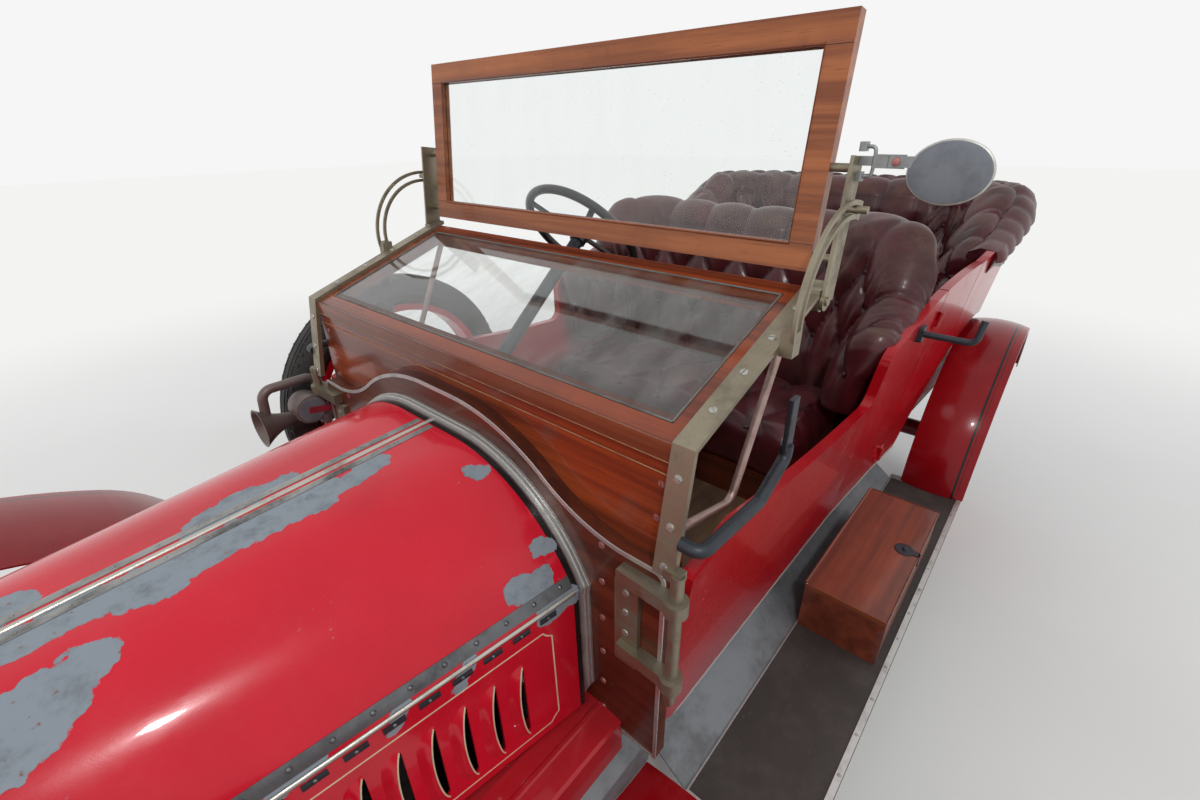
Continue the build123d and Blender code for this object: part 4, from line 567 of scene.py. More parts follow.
@dataclass(frozen=True)
class Sheeting(Finish):
    """Dull zinc sheet or board covering with ribs along the car."""

    colour: Colour = (0.30, 0.31, 0.31)
    dirt: Colour = (0.10, 0.09, 0.08)
    metallic: float = 0.7
    ribs: float = 0.0
    rough: float = 0.45

    def draw(self, g: Graph) -> Wire:
        """Draws the sheet, its dirt and its ribs."""
        cloud = g.noise(8.0, 7, 0.7)
        colour = g.mix(cloud.ramp(0.40, 0.72), self.colour, self.dirt)
        scuff = g.noise(20.0, 4, 0.7, g.stretch((1.0, 9.0, 9.0)))
        colour = g.mix(scuff.ramp(0.62, 0.80) * 0.22, colour, (0.30, 0.29, 0.27))
        relief = g.bump(g.noise(130.0, 4), 0.35, 0.0006)
        if self.ribs > 0:
            wave = (g.axis(1) * (2 * math.pi * self.ribs)).sine()
            relief = g.bump(abs(wave), 0.35, 0.0008, relief)
        metallic = self.metallic - cloud.ramp(0.40, 0.72) * self.metallic * 0.6
        rough = self.rough + cloud * 0.25
        return g.surface(Base_Color=colour, Roughness=rough, Metallic=metallic, Normal=relief)


@dataclass(frozen=True)
class Core(Finish):
    """The radiator's face: small square tubes, with shade painted near black into their openings."""

    pitch: float = 0.011

    def draw(self, g: Graph) -> Wire:
        """Draws the grid of tubes and paints shade into their openings."""
        across = abs((g.axis(1) * (math.pi / self.pitch)).sine())
        up = abs((g.axis(2) * (math.pi / self.pitch)).sine())
        wall = across.low(up).ramp(0.45, 0.25)
        # Painted shade: the openings between the walls are near black.
        colour = g.mix(wall, (0.012, 0.011, 0.010), (0.32, 0.26, 0.16))
        relief = g.bump(wall, 1.0, 0.004)
        return g.surface(Base_Color=colour, Roughness=0.5, Metallic=wall * 0.8, Normal=relief)


@dataclass(frozen=True)
class Plain(Finish):
    """A simple finish with a little noise in its colour and gloss."""

    colour: Colour = (0.5, 0.5, 0.5)
    second: Colour = (0.3, 0.3, 0.3)
    rough: float = 0.5
    metallic: float = 0.0
    scale: float = 20.0

    def draw(self, g: Graph) -> Wire:
        """Draws the two colours through noise."""
        cloud = g.noise(self.scale, 6, 0.65)
        colour = g.mix(cloud.ramp(0.4, 0.7), self.colour, self.second)
        relief = g.bump(g.noise(self.scale * 9, 3), 0.2, 0.0004)
        return g.surface(
            Base_Color=colour, Roughness=self.rough + cloud * 0.16, Metallic=self.metallic, Normal=relief
        )


Ring = list[Vector]
Shape = tuple[list[Vector], list[tuple[int, ...]]]


Site = tuple[Vector, Vector, Vector]


def evenly(start: float, pitch: float, count: int) -> list[float]:
    """Numbers at an even pitch from a start."""
    return [start + pitch * k for k in range(count)]


def between(start: float, end: float, steps: int) -> list[float]:
    """Numbers in even steps from a start to an end, both included."""
    return [start + (end - start) * k / steps for k in range(steps + 1)]


def circle(count: int, shift: float = 0.0) -> list[tuple[float, float]]:
    """The cosine and sine of even turns, shifted by a share of one of them."""
    turns = [2 * math.pi * (k + shift) / count for k in range(count)]
    return [(math.cos(t), math.sin(t)) for t in turns]


def clamp(value: float) -> float:
    """The value, kept between 0 and 1."""
    return min(1.0, max(0.0, value))


def eased(share: Union[float, np.ndarray]) -> Union[float, np.ndarray]:
    """A share between 0 and 1, with a soft start and end."""
    return share * share * (3 - 2 * share)


def beside(way: Vector) -> Vector:
    """A vector square to a way: level, unless the way is nearly upright."""
    return way.cross(UP if abs(way.z) < 0.9 else LEFT)


def reach(path: Sequence[Vector], i: int, closed: bool = False) -> Vector:
    """The vector from the point before point i of a path to the point after it."""
    before = path[i - 1] if i or closed else path[i]
    after = path[(i + 1) % len(path)] if i < len(path) - 1 or closed else path[i]
    return after - before


def loft(rings: Sequence[Sequence[Vector]], closed: bool = False) -> Shape:
    """Joins rings of points into a closed skin.

    Args:
        rings: Rings with the same number of points each.
        closed: Whether the last ring joins the first; if not, both ends are capped.

    Returns:
        Points and faces.
    """
    count = len(rings[0])
    points = [Vector(p) for ring in rings for p in ring]
    faces: list[tuple[int, ...]] = []
    for r in range(len(rings) if closed else len(rings) - 1):
        a, b = r * count, ((r + 1) % len(rings)) * count
        faces += [(a + i, a + (i + 1) % count, b + (i + 1) % count, b + i) for i in range(count)]
    if not closed:
        faces.append(tuple(range(count - 1, -1, -1)))
        faces.append(tuple(range((len(rings) - 1) * count, len(rings) * count)))
    return points, faces


def joined(shapes: Iterable[Shape]) -> Shape:
    """Puts several shapes into one."""
    points: list[Vector] = []
    faces: list[tuple[int, ...]] = []
    for some, more in shapes:
        start = len(points)
        points += some
        faces += [tuple(start + i for i in face) for face in more]
    return points, faces


def tube(path: Sequence[Vector], radius: float, sides: int = 10, closed: bool = False) -> Shape:
    """A round bar along a path.

    Args:
        path: Its centre line.
        radius: Its radius.
        sides: Points in each ring.
        closed: Whether the path is a loop.

    Returns:
        Points and faces.
    """
    rings: list[Ring] = []
    side: Optional[Vector] = None
    for i, p in enumerate(path):
        way = reach(path, i, closed).normalized()
        if side is None:
            side = beside(way)
        side = (side - way * side.dot(way)).normalized()
        up = way.cross(side)
        rings.append([p + (side * c + up * s) * radius for c, s in circle(sides)])
    return loft(rings, closed)


def slab(low: Point, high: Point, soft: float = 0.0) -> Shape:
    """A box with its corners cut.

    Args:
        low: Its lowest corner.
        high: Its highest corner.
        soft: How much is cut off the upright edges.

    Returns:
        Points and faces.
    """
    (x0, y0, z0), (x1, y1, z1) = low, high
    s = max(soft, 1e-5)
    plan = (
        (x0 + s, y0), (x1 - s, y0), (x1, y0 + s), (x1, y1 - s),
        (x1 - s, y1), (x0 + s, y1), (x0, y1 - s), (x0, y0 + s),
    )
    return loft([[Vector((x, y, z)) for x, y in plan] for z in (z0, z1)])


def bowl(centre: Vector, axis: Vector, profile: Sequence[tuple[float, float]], sides: int = 32) -> Shape:
    """A turned shape.

    Args:
        centre: A point on its axis.
        axis: The way that the profile's heights go.
        profile: Radius and height pairs, from one pole or rim to the other.
        sides: Points around.

    Returns:
        Points and faces.
    """
    axis = axis.normalized()
    side = beside(axis).normalized()
    up = axis.cross(side)
    rings: list[Ring] = []
    for radius, height in profile:
        r = max(radius, 1e-5)
        rings.append([centre + axis * height + (side * c + up * s) * r for c, s in circle(sides)])
    return loft(rings)


def bend(path: Sequence[Point], radius: float, steps: int = 5) -> list[Vector]:
    """A path with its corners rounded.

    Args:
        path: The corners.
        radius: How far from a corner its curve starts.
        steps: Points on each curve.

    Returns:
        The rounded path.
    """
    corners = [Vector(p) for p in path]
    out = [corners[0]]
    for before, corner, after in zip(corners, corners[1:], corners[2:]):
        start = min(radius, (before - corner).length / 2, (after - corner).length / 2)
        a = corner + (before - corner).normalized() * start
        b = corner + (after - corner).normalized() * start
        for k in range(steps + 1):
            t = k / steps
            out.append(a * (1 - t) ** 2 + corner * 2 * t * (1 - t) + b * t * t)
    out.append(corners[-1])
    return out


def linked(name: str, data: bpy.types.ID) -> bpy.types.Object:
    """An object of some data, put in the scene."""
    obj = bpy.data.objects.new(name, data)
    bpy.context.scene.collection.objects.link(obj)
    return obj


def mesh_of(name: str, shape: Shape) -> bpy.types.Mesh:
    """A mesh of a shape, as it is."""
    mesh = bpy.data.meshes.new(name)
    mesh.from_pydata([tuple(p) for p in shape[0]], [], shape[1])
    return mesh


def mend(mesh: bpy.types.Mesh, weld: float = 0.0, turn: bool = True) -> None:
    """Cleans a mesh.

    Args:
        mesh: The mesh.
        weld: How near to each other points are made one.
        turn: Whether its faces are turned outwards.
    """
    made = bmesh.new()
    made.from_mesh(mesh)
    if weld:
        bmesh.ops.remove_doubles(made, verts=made.verts, dist=weld)
    if turn:
        bmesh.ops.recalc_face_normals(made, faces=made.faces)
    made.to_mesh(mesh)
    made.free()


def read(mesh: bpy.types.Mesh, what: str = "co") -> np.ndarray:
    """The places or the normals of a mesh's points."""
    return np.array([getattr(v, what) for v in mesh.vertices], float)


def move(mesh: bpy.types.Mesh, co: np.ndarray) -> None:
    """Puts a mesh's points where they are wanted."""
    mesh.vertices.foreach_set("co", co.ravel())
    mesh.update()


def rub_and_shade(mesh: bpy.types.Mesh, amounts: Sequence[float]) -> None:
    """Says for each point of a mesh how much its leather is rubbed; a value near 0 paints shade into a hollow
    there.
    """
    store = mesh.attributes.new("crown", "FLOAT", "POINT")
    store.data.foreach_set("value", np.array(amounts, np.float32))


def piece(
    name: str, shape: Shape, finish: Finish, body: str = "car", smooth: bool = True,
) -> bpy.types.Object:
    """Makes a shape an object that rides on a body.

    Args:
        name: The object's name.
        shape: Its points and faces.
        finish: Its finish.
        body: The body that it rides on.
        smooth: Whether its faces are shaded smooth.

    Returns:
        The object.
    """
    mesh = mesh_of(name, shape)
    mend(mesh, 1e-6)
    return adopt(name, mesh, finish, body, smooth)


def adopt(
    name: str, mesh: bpy.types.Mesh, finish: Finish, body: str, smooth: bool = True,
) -> bpy.types.Object:
    """Gives a mesh an object, a finish and a body.

    Args:
        name: The object's name.
        mesh: The mesh, with its place in it.
        finish: Its finish.
        body: The body that it rides on.
        smooth: Whether its faces are shaded smooth.

    Returns:
        The object.
    """
    mesh.materials.clear()
    mesh.materials.append(finish.material)
    for face in mesh.polygons:
        face.use_smooth = smooth
    if smooth:
        mesh.set_sharp_from_angle(angle=SHARP)
    obj = linked(name, mesh)
    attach(obj, body)
    LOG.info("%s on %s: %d faces", name, body, len(mesh.polygons))
    return obj


class Skin:
    """The surface of some nodes, which things are laid on."""

    def __init__(self, *nodes: str) -> None:
        """Gathers the nodes' triangles."""
        points: list[Vector] = []
        faces: list[tuple[int, ...]] = []
        for node in nodes:
            mesh = NODES[node].data
            start = len(points)
            points += [v.co.copy() for v in mesh.vertices]
            faces += [tuple(start + i for i in p.vertices) for p in mesh.polygons]
        self.tree = BVHTree.FromPolygons(points, faces)

    def drop(self, start: Vector, way: Vector) -> Optional[tuple[Vector, Vector]]:
        """Where a line from start meets the surface, and the normal there."""
        where, normal, _, _ = self.tree.ray_cast(start, way)
        if where is None:
            return None
        return where, normal if normal.dot(way) < 0 else -normal

    def sites(
        self, starts: Iterable[Vector], way: Vector, along: Vector, lift: float = 0.0,
        face: Optional[Vector] = None,
    ) -> list[Site]:
        """Where lines meet the surface, for small shapes to stand there.

        Args:
            starts: Where the lines start.
            way: The way that they go.
            along: The way that the shapes' length goes.
            lift: How far above the surface they stand.
            face: The way that they face, if not as the surface does.

        Returns:
            A site for each line that meets the surface.
        """
        hits = [self.drop(start, way) for start in starts]
        return [(hit[0] + hit[1] * lift, face or hit[1], along) for hit in hits if hit]

    def band(
        self, path: Sequence[Vector], way: Vector, width: float, height: float, across: int = 4,
        closed: bool = False,
    ) -> Shape:
        """A strip laid on the surface along a path.

        Args:
            path: Points outside the surface, over its middle.
            way: The way that they drop.
            width: Its width.
            height: How far it stands proud.
            across: Points across it.
            closed: Whether the path is a loop.

        Returns:
            Points and faces.
        """
        way = way.normalized()
        rings: list[Ring] = []
        for i, p in enumerate(path):
            side = reach(path, i, closed).cross(way).normalized()
            top: Ring = []
            foot: Ring = []
            for k in range(across):
                share = k / (across - 1) - 0.5
                hit = self.drop(p + side * (share * width), way)
                if hit is None:
                    break
                edge = height * (0.55 if k in (0, across - 1) else 1.0)
                top.append(hit[0] + hit[1] * edge)
                foot.append(hit[0] - hit[1] * 0.0004)
            if len(top) == across:
                rings.append(top + foot[::-1])
        return loft(rings, closed and len(rings) == len(path))


def outline(node: str, axis: int, value: float) -> list[list[Vector]]:
    """The edges of a node's flat face.

    Args:
        node: The node.
        axis: The axis that the face is square to.
        value: Where it is on that axis.

    Returns:
        Its loops of points, the longest first.
    """
    made = bmesh.new()
    made.from_mesh(NODES[node].data)
    bmesh.ops.remove_doubles(made, verts=made.verts, dist=2e-5)
    flat = {f for f in made.faces if all(abs(v.co[axis] - value) < 2e-4 for v in f.verts)}
    rim = [e for e in made.edges if sum(f in flat for f in e.link_faces) == 1]
    ways: dict[int, list[int]] = {}
    place = {v.index: v.co.copy() for e in rim for v in e.verts}
    for e in rim:
        a, b = (v.index for v in e.verts)
        ways.setdefault(a, []).append(b)
        ways.setdefault(b, []).append(a)
    made.free()
    loops: list[list[Vector]] = []
    while ways:
        start = next(iter(ways))
        chain, here = [start], start
        while ways.get(here):
            after = ways[here].pop()
            ways[after].remove(here)
            chain.append(after)
            here = after
        ways = {k: v for k, v in ways.items() if v}
        loops.append([place[i] for i in chain[:-1]])
    return sorted(loops, key=lambda some: -sum((a - b).length for a, b in zip(some, some[1:])))


class Head(Enum):
    """The small shapes that repeat."""

    SLOTTED = "slotted"
    RIVET = "rivet"
    HEX = "hex"
    BUTTON = "button"
    LOUVRE = "louvre"
    LIP = "lip"
    TREAD = "tread"

    def shape(self) -> Shape:
        """The shape, a unit across its radius, its face up and its length along X."""
        zero = Vector((0, 0, 0))
        if self is Head.RIVET:
            return bowl(zero, UP, ((1, -0.1), (1, 0.05), (0.86, 0.36), (0.52, 0.60), (0.0, 0.70)), 10)
        if self is Head.BUTTON:
            return bowl(zero, UP, ((1, -0.3), (1, 0.0), (0.88, 0.26), (0.5, 0.42), (0.0, 0.46)), 12)
        if self is Head.HEX:
            washer = bowl(zero, UP, ((1.25, -0.1), (1.25, 0.16), (0.0, 0.16)), 12)
            flats = ((1.0, 0.1), (1.0, 0.7), (0.86, 0.82), (0.5, 0.82), (0.44, 1.0), (0.0, 1.04))
            return joined((washer, bowl(zero, UP, flats, 6)))
        if self is Head.LOUVRE:
            return self._scoop()
        if self is Head.LIP:
            edge = [(u, Head._lip(u)) for u in (-0.97 + 0.97 * i / 9 for i in range(19))]
            return tube([Vector((u, lip, height)) for u, (lip, _, height) in edge], 0.015, 6)
        if self is Head.TREAD:
            return slab((-1.0, -0.36, -0.2), (1.0, 0.36, 0.16), 0.12)
        return self._slotted()

    @staticmethod
    def _slotted() -> Shape:
        """A low screw head, cut by a slot."""
        gap, rim, top = 0.15, 0.9, 0.34
        halves: list[Shape] = []
        start = math.asin(gap / rim)
        for sign in (1, -1):
            turn = [start + (math.pi - 2 * start) * k / 7 for k in range(8)]
            rings = [
                [Vector((r * math.cos(t), sign * max(r * math.sin(t), gap), z)) for t in turn]
                for r, z in ((1.0, -0.1), (1.0, 0.10), (rim, top * 0.85), (0.55, top))
            ]
            halves.append(loft(rings))
        floor = slab((-0.93, -gap, -0.1), (0.93, gap, 0.08))
        return joined((*halves, floor))

    @staticmethod
    def _lip(u: float) -> tuple[float, float, float]:
        """A louvre's lip, front edge and height, at a share u of its half length."""
        swell, rise = max(0.0, 1 - u * u) ** 0.6, max(0.0, 1 - u**4) ** 0.5
        return 0.2366 - 0.1828 * swell, 0.034 - 0.20 * rise, 0.095 * rise

    @staticmethod
    def _scoop() -> Shape:
        """A pressed louvre: a blister along X, open on its +Y side along a curved lip."""
        rings: list[Ring] = []
        for i in range(15):
            u = -1 + i / 7
            lip, start, height = Head._lip(u)
            steps = [(k / 6, math.sin(math.pi / 2 * k / 6) ** 1.3) for k in range(7)]
            outer = [Vector((u, start + (lip - start) * share, height * rise)) for share, rise in steps]
            inner = [Vector((p.x, p.y, p.z - 0.012)) for p in outer]
            rings.append(outer + inner[::-1])
        return loft(rings)


class Scatter(Tree):
    """A node tree that puts a small shape on each point of a mesh, facing as the point says."""

    def __init__(self) -> None:
        """Builds the tree, with its named inputs."""
        super().__init__(bpy.data.node_groups.new("fastenings", "GeometryNodeTree"))
        face = self.tree.interface
        self.names: dict[str, str] = {}
        for name, kind in (
            ("Geometry", "NodeSocketGeometry"),
            ("Shape", "NodeSocketObject"),
            ("Size", "NodeSocketFloat"),
            ("Turn", "NodeSocketFloat"),
            ("Seed", "NodeSocketInt"),
            ("Finish", "NodeSocketMaterial"),
        ):
            self.names[name] = face.new_socket(name, in_out="INPUT", socket_type=kind).identifier
        face.new_socket("Geometry", in_out="OUTPUT", socket_type="NodeSocketGeometry")
        source = self.node("NodeGroupInput").socket.node
        given = {name: Wire(self, source.outputs[name]) for name in self.names}
        facing, along = (
            self.node("GeometryNodeInputNamedAttribute", {"data_type": "FLOAT_VECTOR"}, {"Name": name})
            for name in ("facing", "along")
        )
        align = "FunctionNodeAlignRotationToVector"
        upright = self.node(align, {"axis": "Z"}, {"Vector": facing})
        laid = self.node(align, {"axis": "X", "pivot_axis": "Z"}, {"Rotation": upright, "Vector": along})
        values = {2: 0.0, 3: given["Turn"], 8: given["Seed"]}
        chance = self.node("FunctionNodeRandomValue", {"data_type": "FLOAT"}, values, 1)
        spin = self.node("FunctionNodeAxisAngleToRotation", {}, {"Axis": (0, 0, 1), "Angle": chance})
        values = {"Rotation": laid, "Rotate By": spin}
        turned = self.node("FunctionNodeRotateRotation", {"rotation_space": "LOCAL"}, values)
        shape = self.node("GeometryNodeObjectInfo", {}, {"Object": given["Shape"]}, "Geometry")
        values = {"Points": given["Geometry"], "Instance": shape, "Rotation": turned, "Scale": given["Size"]}
        copies = self.node("GeometryNodeInstanceOnPoints", {}, values)
        real = self.node("GeometryNodeRealizeInstances", {}, {"Geometry": copies})
        values = {"Geometry": real, "Material": given["Finish"]}
        self.end("NodeGroupOutput", self.node("GeometryNodeSetMaterial", {}, values))

    def place(
        self, name: str, sites: Sequence[Site], head: Head, size: float, finish: Finish, body: str = "car",
        turn: float = 0.0, seed: int = 1,
    ) -> Optional[bpy.types.Object]:
        """Puts a shape on each site and makes the result one plain piece.

        Args:
            name: The piece's name.
            sites: Point, facing and length direction of each.
            head: The shape.
            size: Its radius in metres.
            finish: Its finish.
            body: The body that it rides on.
            turn: The most that each is turned at random.
            seed: The seed of the turns.

        Returns:
            The piece, or None where there are no sites.
        """
        if not sites:
            return None
        pattern = linked("mould", mesh_of("mould", head.shape()))
        dots = bpy.data.meshes.new("dots")
        dots.from_pydata([tuple(s[0]) for s in sites], [], [])
        for number, key in ((1, "facing"), (2, "along")):
            store = dots.attributes.new(key, "FLOAT_VECTOR", "POINT")
            store.data.foreach_set("vector", [c for s in sites for c in s[number]])
        holder = linked("dots", dots)
        modifier = holder.modifiers.new("fastenings", "NODES")
        modifier.node_group = self.tree
        given = {"Shape": pattern, "Size": size, "Turn": turn, "Seed": seed, "Finish": finish.material}
        for key, value in given.items():
            modifier[self.names[key]] = value
        bpy.context.view_layer.update()
        ready = holder.evaluated_get(bpy.context.evaluated_depsgraph_get())
        mesh = bpy.data.meshes.new_from_object(ready)
        holder.modifiers.clear()
        for spare in (holder, pattern):
            bpy.data.objects.remove(spare)
        mend(mesh)
        return adopt(name, mesh, finish, body)


RED: Colour = (0.62, 0.005, 0.022)
DEEP_RED: Colour = (0.44, 0.004, 0.010)
CREAM: Colour = (0.72, 0.60, 0.40)
BLACK: Colour = (0.010, 0.009, 0.009)
ACROSS: Point = (0.0, 0.0, 1.5708)
HINGE = Metal("grimy_hinge", (0.34, 0.34, 0.33), (0.045, 0.042, 0.040), 0.75, 0.34, 0.9, (9.0, 60.0, 60.0))
NICKEL = Metal("worn_nickel", (0.50, 0.48, 0.43), (0.15, 0.14, 0.12), 0.45, 0.26, 1.0, (6.0, 90.0, 90.0))
BRASS = Metal("old_brass", (0.31, 0.27, 0.195), (0.165, 0.140, 0.105), 0.6, 0.34, 0.9)
BRIGHT_BRASS = Metal("handled_brass", (0.62, 0.50, 0.28), (0.25, 0.19, 0.10), 0.4, 0.22)
IRON = Metal("black_iron", (0.045, 0.050, 0.060), (0.020, 0.018, 0.018), 0.5, 0.36, 0.7)
STEEL = Metal("dark_steel", (0.16, 0.165, 0.175), (0.05, 0.045, 0.045), 0.5, 0.30, 0.9)
ROD = Metal("pink_rod_steel", (0.42, 0.30, 0.27), (0.24, 0.12, 0.10), 0.5, 0.38, 0.8)
ALLOY = Metal("cast_alloy", (0.38, 0.38, 0.37), (0.14, 0.12, 0.10), 0.6, 0.45, 0.85)
STRIP = Metal("aluminium_strip", (0.58, 0.58, 0.56), (0.30, 0.29, 0.27), 0.4, 0.36, 0.9, (4.0, 120.0, 120.0))
DULL = Metal("dull_bead", (0.20, 0.18, 0.16), (0.10, 0.08, 0.07), 0.6, 0.55, 0.6)
BRONZE = Metal("horn_bronze", (0.165, 0.125, 0.112), (0.090, 0.068, 0.062), 0.5, 0.36, 0.35)
SCREW = Metal("red_stained_screw", (0.42, 0.18, 0.16), (0.30, 0.05, 0.05), 0.5, 0.36, 0.6)
ZINC_SCREW = Metal("grey_screw", (0.50, 0.49, 0.46), (0.22, 0.20, 0.17), 0.5, 0.36, 0.9)
LEATHER = Leather("maroon_leather")
RUBBER = Rubber("tyre_rubber")
GLASS = DustyGlass("dusty_pane", 0.16)
CLEAR = DustyGlass("screen_pane", 0.02)
MAHOGANY = Wood("dark_mahogany", (0.135, 0.028, 0.012), (0.055, 0.012, 0.006), ACROSS, 30.0, 0.26, 0.25)
ORANGE = Wood("orange_mahogany", (0.30, 0.052, 0.012), (0.115, 0.020, 0.007), ACROSS, 34.0, 0.16, 0.4)
RAIL = Wood("rail_mahogany", (0.30, 0.085, 0.032), (0.13, 0.034, 0.014), ACROSS, 34.0, 0.22, 0.3)
CHERRY = Wood("screen_cherry", (0.42, 0.135, 0.045), (0.20, 0.055, 0.020), ACROSS, 30.0, 0.24, 0.3)
BOXWOOD = Wood("toolbox_wood", (0.26, 0.055, 0.024), (0.11, 0.024, 0.012), (0.0, 0.0, 0.0), 18.0, 0.30, 0.45)
FLOORWOOD = Wood("floor_wood", (0.16, 0.090, 0.045), (0.06, 0.034, 0.020), (0.0, 0.0, 0.0), 16.0, 0.6, 0.0)
PALE = Plain("pale_bead", (0.36, 0.20, 0.10), (0.20, 0.08, 0.035), 0.4)
CREAM_LINE = Plain("cream_line", CREAM, (0.60, 0.48, 0.32), 0.3)
GREY_ENAMEL = Plain("grey_enamel", (0.17, 0.18, 0.20), (0.12, 0.13, 0.145), 0.45)
ZINC_GREY = Metal("grey_arm", (0.30, 0.31, 0.31), (0.16, 0.16, 0.155), 0.5, 0.4, 0.8)
PALE_RIM = Plain("pale_rim", (0.55, 0.54, 0.50), (0.38, 0.36, 0.33), 0.35, 0.6)
BLACK_GLOSS = Plain("black_ebonite", (0.016, 0.015, 0.015), (0.028, 0.026, 0.024), 0.22)
LABEL = Plain("bare_red_plate", (0.34, 0.020, 0.045), (0.22, 0.015, 0.03), 0.4)
MIRROR = Plain("silvered_glass", (0.85, 0.86, 0.87), (0.80, 0.81, 0.83), 0.02, 1.0)
LAMP_GLASS = Plain("lamp_glass", (0.42, 0.44, 0.44), (0.34, 0.36, 0.36), 0.06, 0.75, 30.0)
COVER = Sheeting("board_cover", (0.034, 0.028, 0.025), (0.060, 0.050, 0.044), 0.0, 0.0, 0.55)
ZINC = Sheeting("ribbed_zinc", (0.20, 0.21, 0.22), (0.10, 0.10, 0.10), 0.35, 22.0, 0.48)
CORE = Core("radiator_core")
LEFT_PATCHES = (
    Patch((0.770, 0.052, 1.134), (0.880, 0.070, 1.128), 0.024),
    Patch((0.880, 0.062, 1.128), (1.000, 0.050, 1.122), 0.040),
    Patch((1.000, 0.045, 1.122), (1.130, 0.062, 1.115), 0.040),
    Patch((1.130, 0.040, 1.115), (1.330, 0.034, 1.104), 0.034),
    Patch((1.330, 0.040, 1.104), (1.500, 0.030, 1.095), 0.020),
    Patch((1.205, 0.132, 1.103), (1.250, 0.158, 1.093), 0.030),
    Patch((1.250, 0.160, 1.093), (1.300, 0.190, 1.078), 0.042),
    Patch((0.655, 0.200, 1.122), (0.672, 0.188, 1.124), 0.014),
    Patch((0.640, 0.352, 1.020), (0.656, 0.346, 1.024), 0.014),
    Patch((0.685, 0.376, 0.985), (0.725, 0.372, 0.985), 0.027),
    Patch((0.640, 0.402, 0.930), (0.690, 0.400, 0.928), 0.024),
    Patch((0.840, 0.378, 0.930), (0.858, 0.374, 0.896), 0.014),
    Patch((0.950, 0.360, 0.926), (0.962, 0.358, 0.900), 0.014),
    Patch((1.060, 0.345, 0.925), (1.120, 0.335, 0.918), 0.016),
    Patch((1.300, 0.305, 0.915), (1.330, 0.302, 0.900), 0.018),
)
RIGHT_PATCHES = (
    Patch((0.900, -0.040, 1.128), (1.050, -0.030, 1.120), 0.022),
    Patch((1.260, -0.045, 1.108), (1.420, -0.035, 1.098), 0.030),
    Patch((0.672, -0.380, 0.985), (0.700, -0.376, 0.985), 0.018),
    Patch((1.080, -0.344, 0.926), (1.100, -0.340, 0.905), 0.014),
)
PACKING = Line(0, 0.6285, 0.011, BLACK)


def coat(finish: Finish, *nodes: str) -> None:
    """Gives nodes of the model a finish, through their objects' slots."""
    for obj in (NODES[node] for node in nodes):
        if not obj.material_slots:
            obj.data.materials.append(finish.material)
        for slot in obj.material_slots:
            slot.material = finish.material


def both(base: str) -> tuple[str, str]:
    """The names of a left and a right node."""
    return base + "_left", base + "_right"


